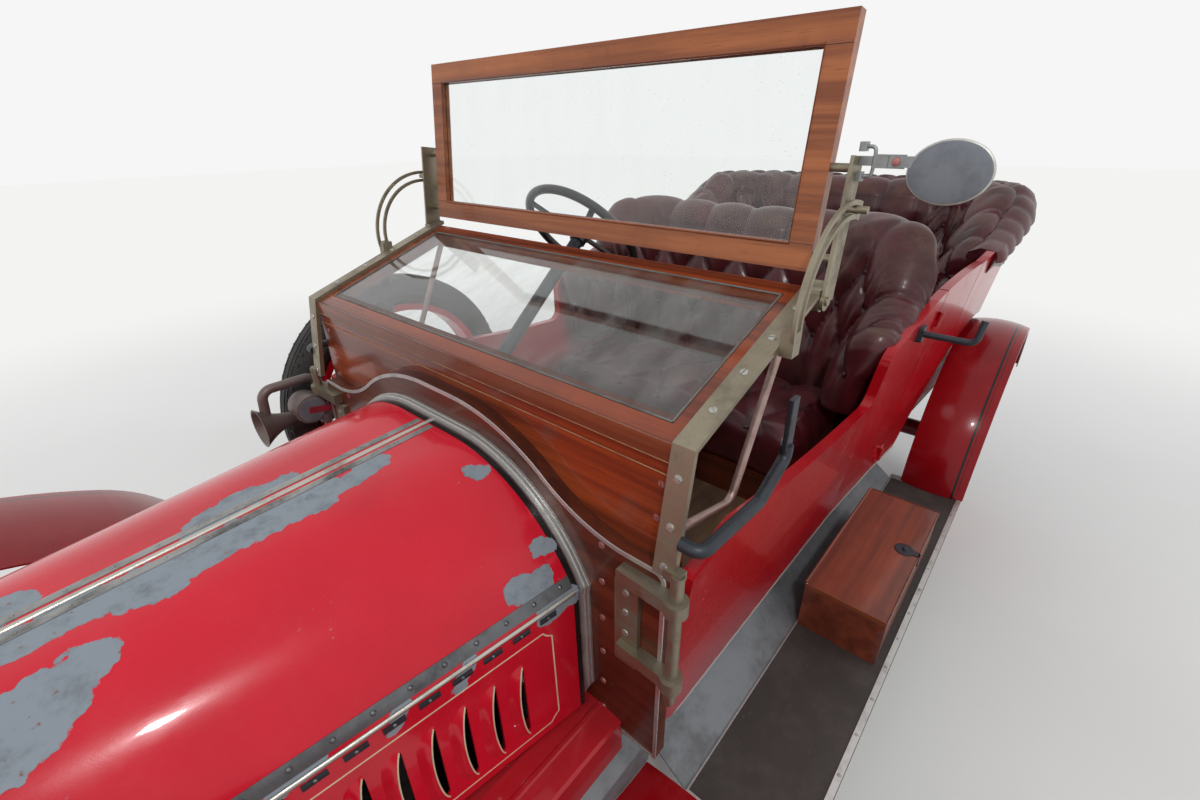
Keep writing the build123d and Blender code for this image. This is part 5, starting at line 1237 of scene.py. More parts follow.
@dataclass
class Bonnet:
    """The bonnet's paint, hinges, louvres and lines, and the ledge that it shuts on."""

    scatter: Scatter
    shoulder_rear: Point = (0.623, 0.405, 0.937)
    shoulder_front: Point = (1.550, 0.264, 0.895)
    strap: float = 0.024
    rod: float = 0.0046
    ledge: tuple[float, float] = (0.6004, 0.6212)
    centre_y: float = 0.0205
    centre_x: tuple[float, float, int] = (0.638, 0.0302, 31)
    centre_rivets: tuple[float, float, int] = (0.660, 0.0545, 17)
    strap_x: tuple[float, float, int] = (0.634, 0.0303, 31)
    strap_rivets: tuple[float, float, int] = (0.655, 0.0545, 17)
    tab_x: tuple[float, float, int] = (0.690, 0.0545, 16)
    rod_x: tuple[float, float] = (0.630, 1.545)
    louvres: tuple[float, float, int] = (0.758, 0.054, 12)
    louvre_z: float = 0.7565
    louvre_half: float = 0.093
    stripe: tuple[float, float, float] = (0.686, 1.480, 0.646)

    def shoulder(self, x: float, sign: int) -> Vector:
        """The point of a shoulder's hinge line at x."""
        share = (x - self.shoulder_rear[0]) / (self.shoulder_front[0] - self.shoulder_rear[0])
        at = Vector(self.shoulder_rear).lerp(Vector(self.shoulder_front), share)
        return Vector((at.x, at.y * sign, at.z))

    def build(self) -> None:
        """Builds and dresses both halves."""
        for side, sign in SIDES:
            patches = LEFT_PATCHES if sign > 0 else RIGHT_PATCHES
            name = "bonnet_enamel_" + side
            red = Enamel(name, RED, (0.50, 0.005, 0.018), patches=patches, lines=(PACKING,))
            coat(red, "bonnet_top_" + side, "bonnet_side_" + side)
            self.centre_hinge(side, sign)
            self.shoulder_hinge(side, sign)
            self.louvre_row(side, sign, red)
            self.pinstripe(side, sign)
        coat(NICKEL, "bonnet_rod")
        self.rear_ledge()

    def centre_hinge(self, side: str, sign: int) -> None:
        """The flat strip beside the centre rod, with its rivets."""
        body = "bonnet_top_" + side
        skin = Skin(body)
        path, starts = (
            [Vector((x, sign * self.centre_y, 1.3)) for x in evenly(*row)]
            for row in (self.centre_x, self.centre_rivets)
        )
        piece(f"hinge_strip_{side}", skin.band(path, DOWN, 0.016, 0.0016), HINGE, body)
        sites = skin.sites(starts, DOWN, AHEAD, 0.0014)
        self.scatter.place(f"hinge_rivets_{side}", sites, Head.RIVET, 0.0026, HINGE, body)

    def shoulder_hinge(self, side: str, sign: int) -> None:
        """The dark strap on the top, its round heads, the rod and the tabs under it."""
        top, flank = "bonnet_top_" + side, "bonnet_side_" + side
        skin = Skin(top)
        inward = Vector((0, -sign, -0.45)).normalized()
        over, above = Vector((0, 0.10 * sign, 0.070)), Vector((0, 0.10 * sign, 0.072))
        path = [self.shoulder(x, sign) + over for x in evenly(*self.strap_x)]
        piece(f"shoulder_strap_{side}", skin.band(path, inward, self.strap, 0.0018), STEEL, top)
        starts = [self.shoulder(x, sign) + above for x in evenly(*self.strap_rivets)]
        sites = skin.sites(starts, inward, AHEAD, 0.0016)
        self.scatter.place(f"strap_heads_{side}", sites, Head.RIVET, 0.0046, STEEL, top)
        ends = [self.shoulder(x, sign) + Vector((0, 0.002 * sign, 0.001)) for x in self.rod_x]
        piece(f"shoulder_rod_{side}", tube(ends, self.rod, 12), NICKEL, top)
        under = Skin(flank)
        flat = Vector((0, -sign, 0))
        starts = [self.shoulder(x, sign) + Vector((0, 0.1 * sign, -0.0165)) for x in evenly(*self.tab_x)]
        runs = [[at + Vector((dx, 0, -0.045 * dx)) for dx in (-0.017, -0.006, 0.006, 0.017)] for at in starts]
        tabs = joined(under.band(run, flat, 0.013, 0.0016, 3) for run in runs)
        pins = under.sites(starts, flat, AHEAD, 0.0014)
        piece(f"hinge_tabs_{side}", tabs, IRON, flank, smooth=False)
        self.scatter.place(f"tab_pins_{side}", pins, Head.RIVET, 0.0036, STEEL, flank)

    def louvre_row(self, side: str, sign: int, red: Finish) -> None:
        """The pressed louvres, each with a cream line on its lip."""
        body = "bonnet_side_" + side
        back = Vector((0.006, 0, 0))
        starts = [Vector((x + 0.0135, sign, self.louvre_z)) + back for x in evenly(*self.louvres)]
        found = Skin(body).sites(starts, Vector((0, -sign, 0)), Vector((0, 0, -sign)), 0.0006)
        sites = [(at - back, facing, along) for at, facing, along in found]
        self.scatter.place(f"louvres_{side}", sites, Head.LOUVRE, self.louvre_half, red, body)
        self.scatter.place(f"louvre_lips_{side}", sites, Head.LIP, self.louvre_half, CREAM_LINE, body)

    def pinstripe(self, side: str, sign: int) -> None:
        """The cream line round the louvres, with notched corners."""
        body = "bonnet_side_" + side
        rear, front, low = self.stripe
        notch = 0.018
        tops = [self.shoulder(x, sign).z - 0.046 for x in (rear, front)]
        corners = [
            (rear, low + notch), (rear, tops[0] - notch), (rear + notch * 0.6, tops[0] - notch * 0.55),
            (rear + notch, tops[0]), (front - notch, tops[1]), (front - notch * 0.6, tops[1] - notch * 0.55),
            (front, tops[1] - notch), (front, low + notch), (front - notch * 0.6, low + notch * 0.55),
            (front - notch, low), (rear + notch, low), (rear + notch * 0.6, low + notch * 0.55),
        ]
        path: list[Vector] = []
        for (xa, za), (xb, zb) in zip(corners, corners[1:] + corners[:1]):
            steps = max(1, round(math.hypot(xb - xa, zb - za) / 0.03))
            run = zip(between(xa, xb, steps), between(za, zb, steps))
            path += [Vector((x, sign, z)) for x, z in run][:-1]
        shape = Skin(body).band(path, Vector((0, -sign, 0)), 0.0028, 0.0004, 2, True)
        piece(f"pinstripe_{side}", shape, CREAM_LINE, body, smooth=False)

    def rear_ledge(self) -> None:
        """The moulded metal strip on the firewall that follows the bonnet's rear edge."""
        skin = Skin(*both("bonnet_top"), *both("bonnet_side"))
        middle = Vector((0.632, 0, 0.80))
        rim: list[Vector] = []
        for side, sign in (("right", -1), ("left", 1)):
            some: list[Vector] = []
            for k in range(49):
                turn = math.radians(-24 + 114 * k / 48) if k < 48 else math.radians(90)
                way = Vector((0, sign * math.cos(turn), math.sin(turn)))
                hit = skin.drop(middle + way, -way)
                if hit and (hit[0] - middle).length > 0.3:
                    some.append(Vector((0, hit[0].y, hit[0].z)))
            rim += some if side == "right" else some[::-1][1:]
        low = 0.640
        rim = [p for p in rim if p.z > low]
        rim = [Vector((0, rim[0].y, low)), *rim, Vector((0, rim[-1].y, low))]
        ledge: list[Shape] = []
        x0, x1 = self.ledge
        steps = ((-0.004, 0.0045, x1), (0.0045, 0.008, x0 + 0.012), (0.008, 0.010, x0 + 0.005))
        for inner, outer, end in steps:
            rings: list[Ring] = []
            for i, p in enumerate(rim):
                run = reach(rim, i).normalized()
                out = Vector((0, run.z, -run.y))
                out = out if out.dot(p - Vector((0, 0, 0.8))) > 0 else -out
                section = ((x0, inner), (end, inner), (end, outer), (x0, outer))
                rings.append([AHEAD * x + p + out * off for x, off in section])
            ledge.append(loft(rings))
        piece("bonnet_ledge", joined(ledge), STRIP, "car", smooth=False)


@dataclass
class Firewall:
    """The mahogany board: its metal edge and its screws."""

    scatter: Scatter
    face: float = 0.600
    edge: tuple[float, float] = (0.007, 0.0022)
    screw_y: float = 0.445
    screw_z: tuple[float, ...] = (1.048, 0.965, 0.875, 0.785, 0.699, 0.618)

    def build(self) -> None:
        """Dresses the board."""
        coat(MAHOGANY, "firewall")
        rim = outline("firewall", 0, self.face)[0]
        width, proud = self.edge
        rings: list[Ring] = []
        for i, p in enumerate(rim):
            run = reach(rim, i, True)
            run = Vector((0, run.y, run.z)).normalized()
            inward = Vector((0, -run.z, run.y))
            if inward.dot(Vector((0, -p.y, 0.85 - p.z))) < 0:
                inward = -inward
            section = ((0, -0.0012), (proud, -0.0008), (proud, width), (0, width))
            rings.append([p + AHEAD * x + inward * off for x, off in section])
        piece("firewall_edge", loft(rings, True), STRIP, "car", smooth=False)
        ats = [Vector((self.face, sign * self.screw_y, z)) for _, sign in SIDES for z in self.screw_z]
        sites = [(at, AHEAD, LEFT) for at in ats]
        self.scatter.place("firewall_screws", sites, Head.SLOTTED, 0.0068, SCREW, "car", math.pi, 3)


@dataclass
class Scuttle:
    """The scuttle's rails and bead, and the screws of its edge strips."""

    scatter: Scatter
    face: float = 0.572
    half: float = 0.5585
    rail_low: float = 1.2475
    top: float = 1.2805
    bead_z: float = 1.223
    screws: tuple[tuple[float, float], ...] = ((0.541, 1.203), (0.535, 1.137))

    def build(self) -> None:
        """Dresses the box and the strips that hold the screen."""
        coat(ORANGE, "scuttle_box")
        coat(GLASS, "scuttle_pane")
        low, high = (self.face - 0.001, -self.half, self.rail_low), (self.face + 0.005, self.half, self.top)
        rail = slab(low, high, 0.001)
        piece("scuttle_rail", rail, RAIL, "car", smooth=False)
        lines = [
            tube([Vector((self.face + proud, y, z)) for y in (-self.half, self.half)], radius, 6)
            for proud, z, radius in ((0.0005, self.bead_z, 0.0010), (0.0052, self.rail_low + 0.0012, 0.0007))
        ]
        piece("scuttle_bead", joined(lines), PALE, "car")
        self.pane_edge()
        ats = [Vector((self.face, sign * y, z)) for _, sign in SIDES for y, z in self.screws]
        sites = [(at, AHEAD, LEFT) for at in ats]
        self.scatter.place("scuttle_screws", sites, Head.SLOTTED, 0.0062, SCREW, "car", math.pi, 5)

    def pane_edge(self) -> None:
        """The thin metal bead round the sloping pane, against the glass."""
        low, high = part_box("scuttle_pane")
        skin = Skin("scuttle_pane", "scuttle_box")
        x0, y0, x1, y1 = low.x + 0.003, low.y + 0.003, high.x - 0.003, high.y - 0.003
        corners = [Vector((x, y, 1.6)) for x, y in ((x0, y0), (x1, y0), (x1, y1), (x0, y1))]
        runs = [
            skin.band([a.lerp(b, k / 12) for k in range(13)], DOWN, 0.0042, 0.0020, 3)
            for a, b in zip(corners, corners[1:] + corners[:1])
        ]
        piece("pane_bead", joined(runs), DULL, "car", smooth=False)


@dataclass
class Screen:
    """The folding screen: frame, glass, arms, slotted quadrants, pillars and the mirror."""

    scatter: Scatter
    pivot: Point = (0.180, 0.0, 1.404)
    lean: float = 6.0
    half: float = 0.562
    pillar_y: float = 0.579
    mirror: Point = (0.143, 0.734, 1.614)
    mirror_half: tuple[float, float] = (0.056, 0.044)
    strip_x: tuple[float, ...] = (0.505, 0.418, 0.330, 0.245)
    strip_z: tuple[float, ...] = (1.238, 1.160, 1.092)
    plate_screws: tuple[tuple[float, float], ...] = (
        (0.505, 0.985), (0.505, 0.940), (0.505, 0.890), (0.505, 0.835), (0.535, 1.0), (0.535, 0.82),
    )

    def build(self) -> None:
        """Dresses everything that carries or is the screen."""
        coat(CHERRY, "screen_frame")
        coat(CLEAR, "screen_pane")
        coat(BRASS, "screen_arms", "screen_quadrants", "screen_pillars", "pillar_brackets")
        coat(ROD, "screen_stays")
        coat(IRON, "lamp_irons")
        self.strip_screws()
        self.mirror_and_arm()
        self.frame_joints()

    def strip_screws(self) -> None:
        """Slotted screws down the strips on the pillars and round the hinge plates."""
        skin = Skin("screen_pillars")
        plates = Skin("pillar_brackets")
        sites: list[Site] = []
        for _, sign in SIDES:
            strip_y = sign * self.pillar_y
            sites += skin.sites([Vector((x, strip_y, 1.7)) for x in self.strip_x], DOWN, LEFT)
            sites += skin.sites([Vector((0.9, strip_y, z)) for z in self.strip_z], -AHEAD, LEFT)
            found = plates.sites([Vector((0.9, sign * y, z)) for y, z in self.plate_screws], -AHEAD, LEFT)
            sites += [site for site in found if site[0].x < 0.625]
        self.scatter.place("strip_screws", sites, Head.SLOTTED, 0.0070, ZINC_SCREW, "car", math.pi, 7)

    def lean_point(self, y: float, up: float, ahead: float) -> Vector:
        """A point of the screen from its own height and depth."""
        turn = math.radians(self.lean)
        px, _, pz = self.pivot
        x = px - math.sin(turn) * up + math.cos(turn) * ahead
        return Vector((x, y, pz + math.cos(turn) * up + math.sin(turn) * ahead))

    def frame_joints(self) -> None:
        """Thin dark joints where the posts meet the rails, and the bead that holds the glass."""
        joints: list[Shape] = []
        beads: list[Shape] = []
        for face in (-0.0293, -0.0047):
            for _, sign in SIDES:
                for up in (0.090, 0.390):
                    ys = (self.half - 0.045, self.half - 0.001)
                    joints.append(tube([self.lean_point(sign * y, up, face) for y in ys], 0.0005, 4))
            loop = [
                self.lean_point(y, up, face + (0.0012 if face < -0.02 else -0.0012))
                for y, up in ((-0.5175, 0.0885), (0.5175, 0.0885), (0.5175, 0.3915), (-0.5175, 0.3915))
            ]
            beads.append(tube(loop, 0.0030, 6, True))
        piece("screen_joints", joined(joints), IRON, "screen", smooth=False)
        piece("glass_bead", joined(beads), RAIL, "screen")

    def mirror_and_arm(self) -> None:
        """The oval mirror on its jointed arm, in place of the plain one."""
        x, y, z = self.mirror
        wide, tall = self.mirror_half

        def oval(share: float, dx: float) -> Ring:
            """One ring of the mirror's outline."""
            return [Vector((x + dx, y + wide * share * c, z + tall * share * s)) for c, s in circle(48)]

        back = ((0.95, -0.004), (0.99, 0.000), (0.97, 0.0035), (0.80, 0.0062), (0.45, 0.0078), (0.12, 0.0084))
        shape = loft([oval(*row) for row in back])
        shell = piece("mirror_back", shape, GREY_ENAMEL, "screen")
        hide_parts("mirror")
        piece("mirror_rim", tube(oval(0.985, -0.0015), 0.0026, 8, True), PALE_RIM, "screen")
        glass = [oval(0.95, -0.0030), oval(0.95, -0.0046), oval(0.90, -0.0052)]
        piece("mirror_glass", loft(glass), MIRROR, "screen", smooth=False)
        post = self.lean_point(0.603, 0.0, -0.017).y
        arm = [
            slab((x - 0.002, y - wide - 0.030, z + 0.005), (x + 0.004, y - wide + 0.016, z + 0.021), 0.0015),
            slab((x - 0.006, y - wide - 0.054, z + 0.003), (x + 0.001, y - wide - 0.006, z + 0.023), 0.0015),
            slab((x - 0.010, post - 0.006, z + 0.006), (x - 0.002, y - wide - 0.036, z + 0.020), 0.0015),
        ]
        for at in (z - 0.010, z + 0.034):
            low, high = (x - 0.012, post - 0.001, at - 0.007), (x + 0.006, post + 0.010, at + 0.007)
            arm.append(slab(low, high, 0.002))
            hook = [(x - 0.004, post + dy, up) for dy, up in ((0.008, at), (0.022, at), (0.024, z + 0.013))]
            arm.append(tube(bend(hook, 0.008), 0.0030, 8))
        piece("mirror_arm", joined(arm), ZINC_GREY, "screen", smooth=False)
        bolt = [(Vector((x + 0.004, y - wide - 0.018, z + 0.013)), AHEAD, LEFT)]
        self.scatter.place("mirror_bolt", bolt, Head.BUTTON, 0.0068, SCREW, "screen")


@dataclass
class Upholstery:
    """One buttoned seat back or cushion, worked from the space that its node holds."""

    node: str
    rows: tuple[float, float, int]
    pitch: float
    corner_x: float = 0.0
    inner_half: float = 0.5
    corner_radius: float = 0.0
    base_z: float = 0.0
    rake: float = 9.0
    flare: float = 7.0
    voxel: float = 0.009
    deep: float = 0.020
    flat: bool = False
    fill: float = 0.7
    thick: float = 0.108
    rolled: float = 0.028
    arms: tuple[tuple[float, float], ...] = ()
    foot: float = 0.185
    pressure: float = 4.0

    def build(self, scatter: Scatter) -> None:
        """Makes the padded piece and its buttons in place of the node."""
        obj = self.rough_out()
        if not self.flat:
            self.sculpt(obj)
        self.inflate(obj)
        self.work(obj)
        obj.name = self.node + "_leather"
        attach(obj, "car")
        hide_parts(self.node)
        self.buttons(obj, scatter)
        LOG.info("%s: %d faces", obj.name, len(obj.data.polygons))

    def rough_out(self) -> bpy.types.Object:
        """A closed, evenly meshed copy of the node with its edges rounded over."""
        mesh = NODES[self.node].data.copy()
        mend(mesh, 1e-5, turn=False)
        obj = linked("rough", mesh)
        remesh = obj.modifiers.new("even", "REMESH")
        remesh.mode = "VOXEL"
        remesh.voxel_size = self.voxel
        smooth = obj.modifiers.new("round", "SMOOTH")
        smooth.factor = 0.5
        smooth.iterations = 9 if self.flat else 24
        self.apply(obj)
        return obj

    @staticmethod
    def apply(obj: bpy.types.Object) -> None:
        """Puts the modifiers' result into the mesh."""
        ready = obj.evaluated_get(bpy.context.evaluated_depsgraph_get())
        mesh = bpy.data.meshes.new_from_object(ready)
        obj.modifiers.clear()
        obj.data = mesh

    def inflate(self, obj: bpy.types.Object) -> None:
        """Swells the pad with a short cloth simulation under pressure."""
        share, frames, most = ((0.985, 0.990, 0.93), 20, 0.024) if self.flat else ((1.0, 1.0, 1.0), 12, 0.022)
        start = read(obj.data)
        middle = start.mean(0)
        shrunk = middle + (start - middle) * np.array(share)
        move(obj.data, shrunk)
        cloth = obj.modifiers.new("cloth", "CLOTH")
        cloth.settings.use_pressure = True
        cloth.settings.uniform_pressure_force = self.pressure
        cloth.settings.effector_weights.gravity = 0.0
        cloth.settings.quality = 4
        for number in range(1, frames + 1):
            bpy.context.scene.frame_set(number)
        self.apply(obj)
        bpy.context.scene.frame_set(1)
        step = read(obj.data) - shrunk
        length = np.linalg.norm(step, axis=1, keepdims=True)
        capped = shrunk + step * np.minimum(1.0, most / np.maximum(length, 1e-9))
        move(obj.data, np.clip(capped, start.min(0) - 0.008, start.max(0) + 0.012))

    def plan(self, co: np.ndarray) -> tuple[np.ndarray, ...]:
        """Where points lie against the inner face of a wrap-round back.

        Args:
            co: Points in the car's frame.

        Returns:
            Corner radius, half width to the corner, and how far past its centre sideways and forwards.
        """
        x, y, z = co.T
        up = z - self.base_z
        out = up * math.tan(math.radians(self.flare))
        r = self.corner_radius + out
        straight = self.inner_half + out - r
        ahead = x - (self.corner_x - up * math.tan(math.radians(self.rake)) + r)
        return r, straight, np.abs(y) - straight, ahead

    def sculpt(self, obj: bpy.types.Object) -> None:
        """Rounds the top and the arms' ends, lowers the arms and rolls the top edge outwards."""
        co = read(obj.data)
        _, _, way = self.unroll(co)
        r, _, off, ahead = self.plan(co)
        corner = np.hypot(np.maximum(off, 0), np.minimum(ahead, 0)) - r
        depth = np.where(off <= 0, -(ahead + r), np.where(ahead > 0, off - r, corner))
        share = np.clip(depth / self.thick, 0, 1)
        stations = np.linspace(co[:, 0].min(), co[:, 0].max(), 70)
        tops = [co[np.abs(co[:, 0] - at) < 0.012, 2].max() for at in stations]
        top = np.interp(co[:, 0], stations, tops)
        want = top
        if self.arms:
            back, height = zip(*((-x, z) for x, z in self.arms))
            want = np.minimum(top, np.interp(-co[:, 0], back, height))
        foot = self.base_z + self.foot
        lift = np.clip((co[:, 2] - foot) / (top - foot), 0, 1.05)
        z = np.where(co[:, 2] > foot, foot + lift * (want - foot), co[:, 2])
        sag = self.thick / 2 * (1 - np.sqrt(np.maximum(0.0, 1 - (2 * share - 1) ** 2)))
        near = eased(np.clip(1 - (want - z) / 0.17, 0, 1))
        tip = np.clip(1 - (co[:, 0].max() - co[:, 0]) / 0.12, 0, 1)
        co[:, 0] -= sag * 0.8 * tip * tip
        co[:, :2] -= way[:, :2] * (self.rolled * near * share)[:, None]
        co[:, 2] = z - sag * near
        move(obj.data, co)

    def unroll(self, co: np.ndarray) -> tuple[np.ndarray, np.ndarray, np.ndarray]:
        """Lays the padding out flat.

        Args:
            co: Points in the car's frame.

        Returns:
            Distance along the seat, height, and the way into the seat at each point.
        """
        x, y, z = co.T
        if self.flat:
            return y, x, np.tile((0.0, 0.0, 1.0), (len(co), 1))
        _, straight, off, ahead = self.plan(co)
        sign = np.where(y < 0, -1.0, 1.0)
        angle = np.arctan2(np.maximum(off, 0), np.maximum(-ahead, 1e-6))
        arm = (ahead > 0) & (off > 0)
        bend = self.corner_radius + 0.12
        along = np.where(off <= 0, np.abs(y), straight + bend * angle)
        along = np.where(arm, straight + bend * math.pi / 2 + ahead, along)
        way = np.zeros((len(co), 3))
        way[:, 0] = np.where(off <= 0, 1.0, np.where(arm, 0.0, np.cos(angle)))
        way[:, 1] = np.where(off <= 0, 0.0, np.where(arm, -sign, -sign * np.sin(angle)))
        return along * sign, z, way

    def tuft(self, along: np.ndarray, up: np.ndarray) -> np.ndarray:
        """The height of the buttoning, from 0 at a button to 1 at a crown."""
        first, pitch, count = self.rows
        row = (up - first) / pitch
        last = count - 1
        held = np.clip(row, 0, last)
        p = along / self.pitch + held / 2
        q = along / self.pitch - held / 2
        diamonds = (np.abs(np.sin(math.pi * p)) * np.abs(np.sin(math.pi * q))) ** 0.42
        over = np.maximum(row - last, 0) + np.maximum(-row, 0)
        shift = np.where(row > 0, (last % 2) * 0.5, 0.0)
        pleats = np.abs(np.sin(math.pi * (along / self.pitch + shift))) ** 0.5
        share = np.clip(over * 2.2, 0, 1)
        return diamonds * (1 - share) + (0.25 + 0.75 * pleats) * share

    def work(self, obj: bpy.types.Object) -> None:
        """Presses the buttoning into the mesh, says where the hide is rubbed, and sets 0 in the hollows round
        the buttons so that shade is painted there.
        """
        mesh = obj.data
        co, normal = read(mesh), read(mesh, "normal")
        along, up, way = self.unroll(co)
        facing = (normal * way).sum(1)
        top = np.clip(normal[:, 2] * 1.4, 0, 1) if not self.flat else np.zeros(len(co))
        front = np.clip(facing * 1.6 - 0.1, 0, 1)
        share = np.maximum(front, top * 0.75)
        height = self.tuft(along, up)
        if self.flat:
            span = co.max(0) - co.min(0)
            edge = np.minimum(co - co.min(0), co.max(0) - co)[:, :2].min(1)
            share = share * np.clip(edge / 0.05, 0.0, 1)
            crown = np.clip(edge / (0.35 * span[0]), 0, 1)
            moved = co + normal * ((height - 0.8) * self.deep * share)[:, None]
            moved[:, 2] += crown * 0.010 * (normal[:, 2] > 0.5)
        else:
            moved = co + normal * ((height - 0.72) * self.deep * share)[:, None]
        move(mesh, moved)
        worn = 0.12 + 0.35 * height * share + 0.5 * height * top
        # Deep in the hollows round the buttons the value is 0, which paints shade there.
        rub_and_shade(mesh, np.where(share * (1 - height) > 0.62, 0.0, worn))
        mesh.materials.clear()
        mesh.materials.append(LEATHER.material)
        for face in mesh.polygons:
            face.use_smooth = True

    def buttons(self, obj: bpy.types.Object, scatter: Scatter) -> None:
        """Leather buttons where the pleats meet."""
        co, normal = read(obj.data), read(obj.data, "normal")
        along, up, way = self.unroll(co)
        first, pitch, count = self.rows
        front = (normal * way).sum(1) > 0.45
        sites: list[Site] = []
        for row in range(count):
            height = first + pitch * row
            for k in range(-30, 31):
                place = (k + (row % 2) * 0.5) * self.pitch
                gap = (along - place) ** 2 + (up - height) ** 2 + np.where(front, 0, 1.0)
                near = int(gap.argmin())
                if gap[near] > 0.0001:
                    continue
                facing = Vector(way[near])
                sites.append((Vector(co[near]) + facing * 0.002, facing, LEFT))
        scatter.place(self.node + "_buttons", sites, Head.BUTTON, 0.0095, LEATHER, "car")


@dataclass
class Seats:
    """The front bench and the rear bench, whose leather is rolled over the body's edge."""

    scatter: Scatter
    front_arms: tuple[tuple[float, float], ...] = (
        (-0.365, 1.158), (-0.385, 1.188), (-0.420, 1.204), (-0.470, 1.214), (-0.520, 1.230), (-0.560, 1.254),
        (-0.600, 1.300), (-0.640, 1.368), (-0.672, 1.412), (-0.705, 1.432), (-1.000, 1.432),
    )
    middle: Point = (-1.450, 0.0, 0.0)
    tip_angle: float = 72.0
    shallow: float = 0.078
    deepest: float = 0.205
    tail: float = 0.120
    inside: tuple[tuple[float, float], ...] = (
        (0.0012, 0.0012), (-0.028, 0.0012), (-0.032, -0.010), (-0.092, -0.064),
    )
    back_rows: tuple[float, float, int] = (1.045, 0.115, 3)
    seat_z: float = 0.745
    stud_pitch: float = 0.092
    pleat_pitch: float = 0.088
    steps: int = 220

    def build(self) -> None:
        """Builds the four padded pieces."""
        front = Upholstery(
            "front_seat_back", self.back_rows, 0.158, -0.598, 0.420, 0.090, self.seat_z, rake=9.0, flare=9.0,
            deep=0.030, arms=self.front_arms,
        )
        rear = Upholstery(
            "rear_seat_back", self.back_rows, 0.158, -1.677, 0.480, 0.130, self.seat_z, rake=7.0, flare=7.0,
            deep=0.030, rolled=0.018,
        )
        pads = [
            Upholstery(f"{end}_seat_cushion", (first, 0.150, 3), 0.160, deep=0.018, flat=True)
            for end, first in (("front", -0.500), ("rear", -1.560))
        ]
        for one in (front, rear, *pads):
            one.build(self.scatter)
        self.rolled_edge()

    def hang(self, x: float) -> tuple[float, float]:
        """How far the roll hangs down outside at x, and how far it stands over the body's edge."""
        share = eased(clamp((-1.25 - x) / 0.40))
        drop = self.shallow + (self.deepest - self.shallow) * share
        drop += (self.tail - drop) * clamp((-1.68 - x) / 0.20)
        return drop, 0.012 + 0.030 * share

    @staticmethod
    def over(lip: Vector, out: Vector, rise: float, swell: float) -> Ring:
        """The roll's points from inside the body to outside it, over the edge.

        Args:
            lip: The body's edge.
            out: The way out of the body.
            rise: How far the roll stands over the edge.
            swell: How full it is there.

        Returns:
            The points.
        """
        inner = [(-0.100, -0.060), (-0.086, rise - 0.022)]
        outer = [
            (-0.050, rise + 0.004), (-0.026, rise + 0.002), (-0.004, rise * 0.72), (0.016, rise * 0.30),
            (0.030, -0.014), (0.034, -0.036),
        ]
        ring = [lip + out * off + UP * (up + 0.001) for off, up in inner]
        for off, up in outer:
            full = off * swell if off > 0 else off
            ring.append(lip + out * full + UP * ((up if up < 0 else up * swell) + 0.001))
        return ring

    @staticmethod
    def outside(face: Callable[[float], Vector], out: Vector, top: float, drop: float, swell: float) -> Ring:
        """The roll's points down the body's outer face and back up against it.

        Args:
            face: Gives the outer face at a height.
            out: The way out of the body.
            top: The height of the body's edge.
            drop: How far the roll hangs.
            swell: How full it is there.

        Returns:
            The points.
        """
        down = (0.34, 0.50, 0.66, 0.82, 0.93, 1.0)
        proud = [(part, 0.003 + 0.028 * swell * (1 - part) ** 0.8) for part in down]
        proud += [(part, 0.0012) for part in (1.0, 0.6, 0.2)]
        return [face(top - drop * part) + out * stand for part, stand in proud]

    def rolled_edge(self) -> None:
        """The rear leather's padded roll over the body's edge, tacked down outside with studs."""
        wall = Skin("body_rear")
        middle = Vector(self.middle)
        rings: list[Ring] = []
        sites: list[Site] = []
        crowns: list[float] = []
        run, last, tacked = 0.0, None, 0.0
        for k, turned in enumerate(between(self.tip_angle, 360 - self.tip_angle, self.steps)):
            angle = math.radians(turned)
            out = Vector((math.cos(angle), math.sin(angle), 0))

            def face(z: float) -> Vector:
                """The body's outer face on this ray at a height."""
                hit = wall.drop(middle + out * 1.2 + UP * z, -out)
                return hit[0] if hit else middle + out * 0.7 + UP * z

            lip = face(1.24)
            for _ in range(3):
                hit = wall.drop(Vector((lip.x, lip.y, 2.0)) - out * 0.012, DOWN)
                top = hit[0].z if hit else 1.3
                lip = face(top - 0.004)
            run += (lip - last).length if last else 0.0
            last = lip
            drop, rise = self.hang(lip.x)
            tip = min(1.0, 0.18 + min(k, self.steps - k) / 5)
            pleat = abs(math.sin(math.pi * run / self.pleat_pitch)) ** 0.45
            swell = math.sqrt(max(0.0, 1 - (1 - tip) ** 2)) * (0.72 + 0.28 * pleat)
            ring = self.over(lip, out, rise, swell) + self.outside(face, out, top, drop, swell)
            ring += [lip + out * off + UP * up for off, up in self.inside]
            rings.append(ring)
            # Where a pleat folds in on top of the roll the value falls to 0, which paints shade in the fold.
            crowns += [0.5 * pleat if 2 <= i <= 6 else 0.15 for i in range(len(ring))]
            if run >= tacked and 3 < k < self.steps - 3:
                sites.append((face(top - drop + 0.010) + out * 0.004, out, UP))
                tacked = run + self.stud_pitch
        obj = piece("rear_seat_roll", loft(rings), LEATHER, "car")
        rub_and_shade(obj.data, crowns)
        self.scatter.place("rear_roll_studs", sites, Head.BUTTON, 0.0055, IRON, "car")


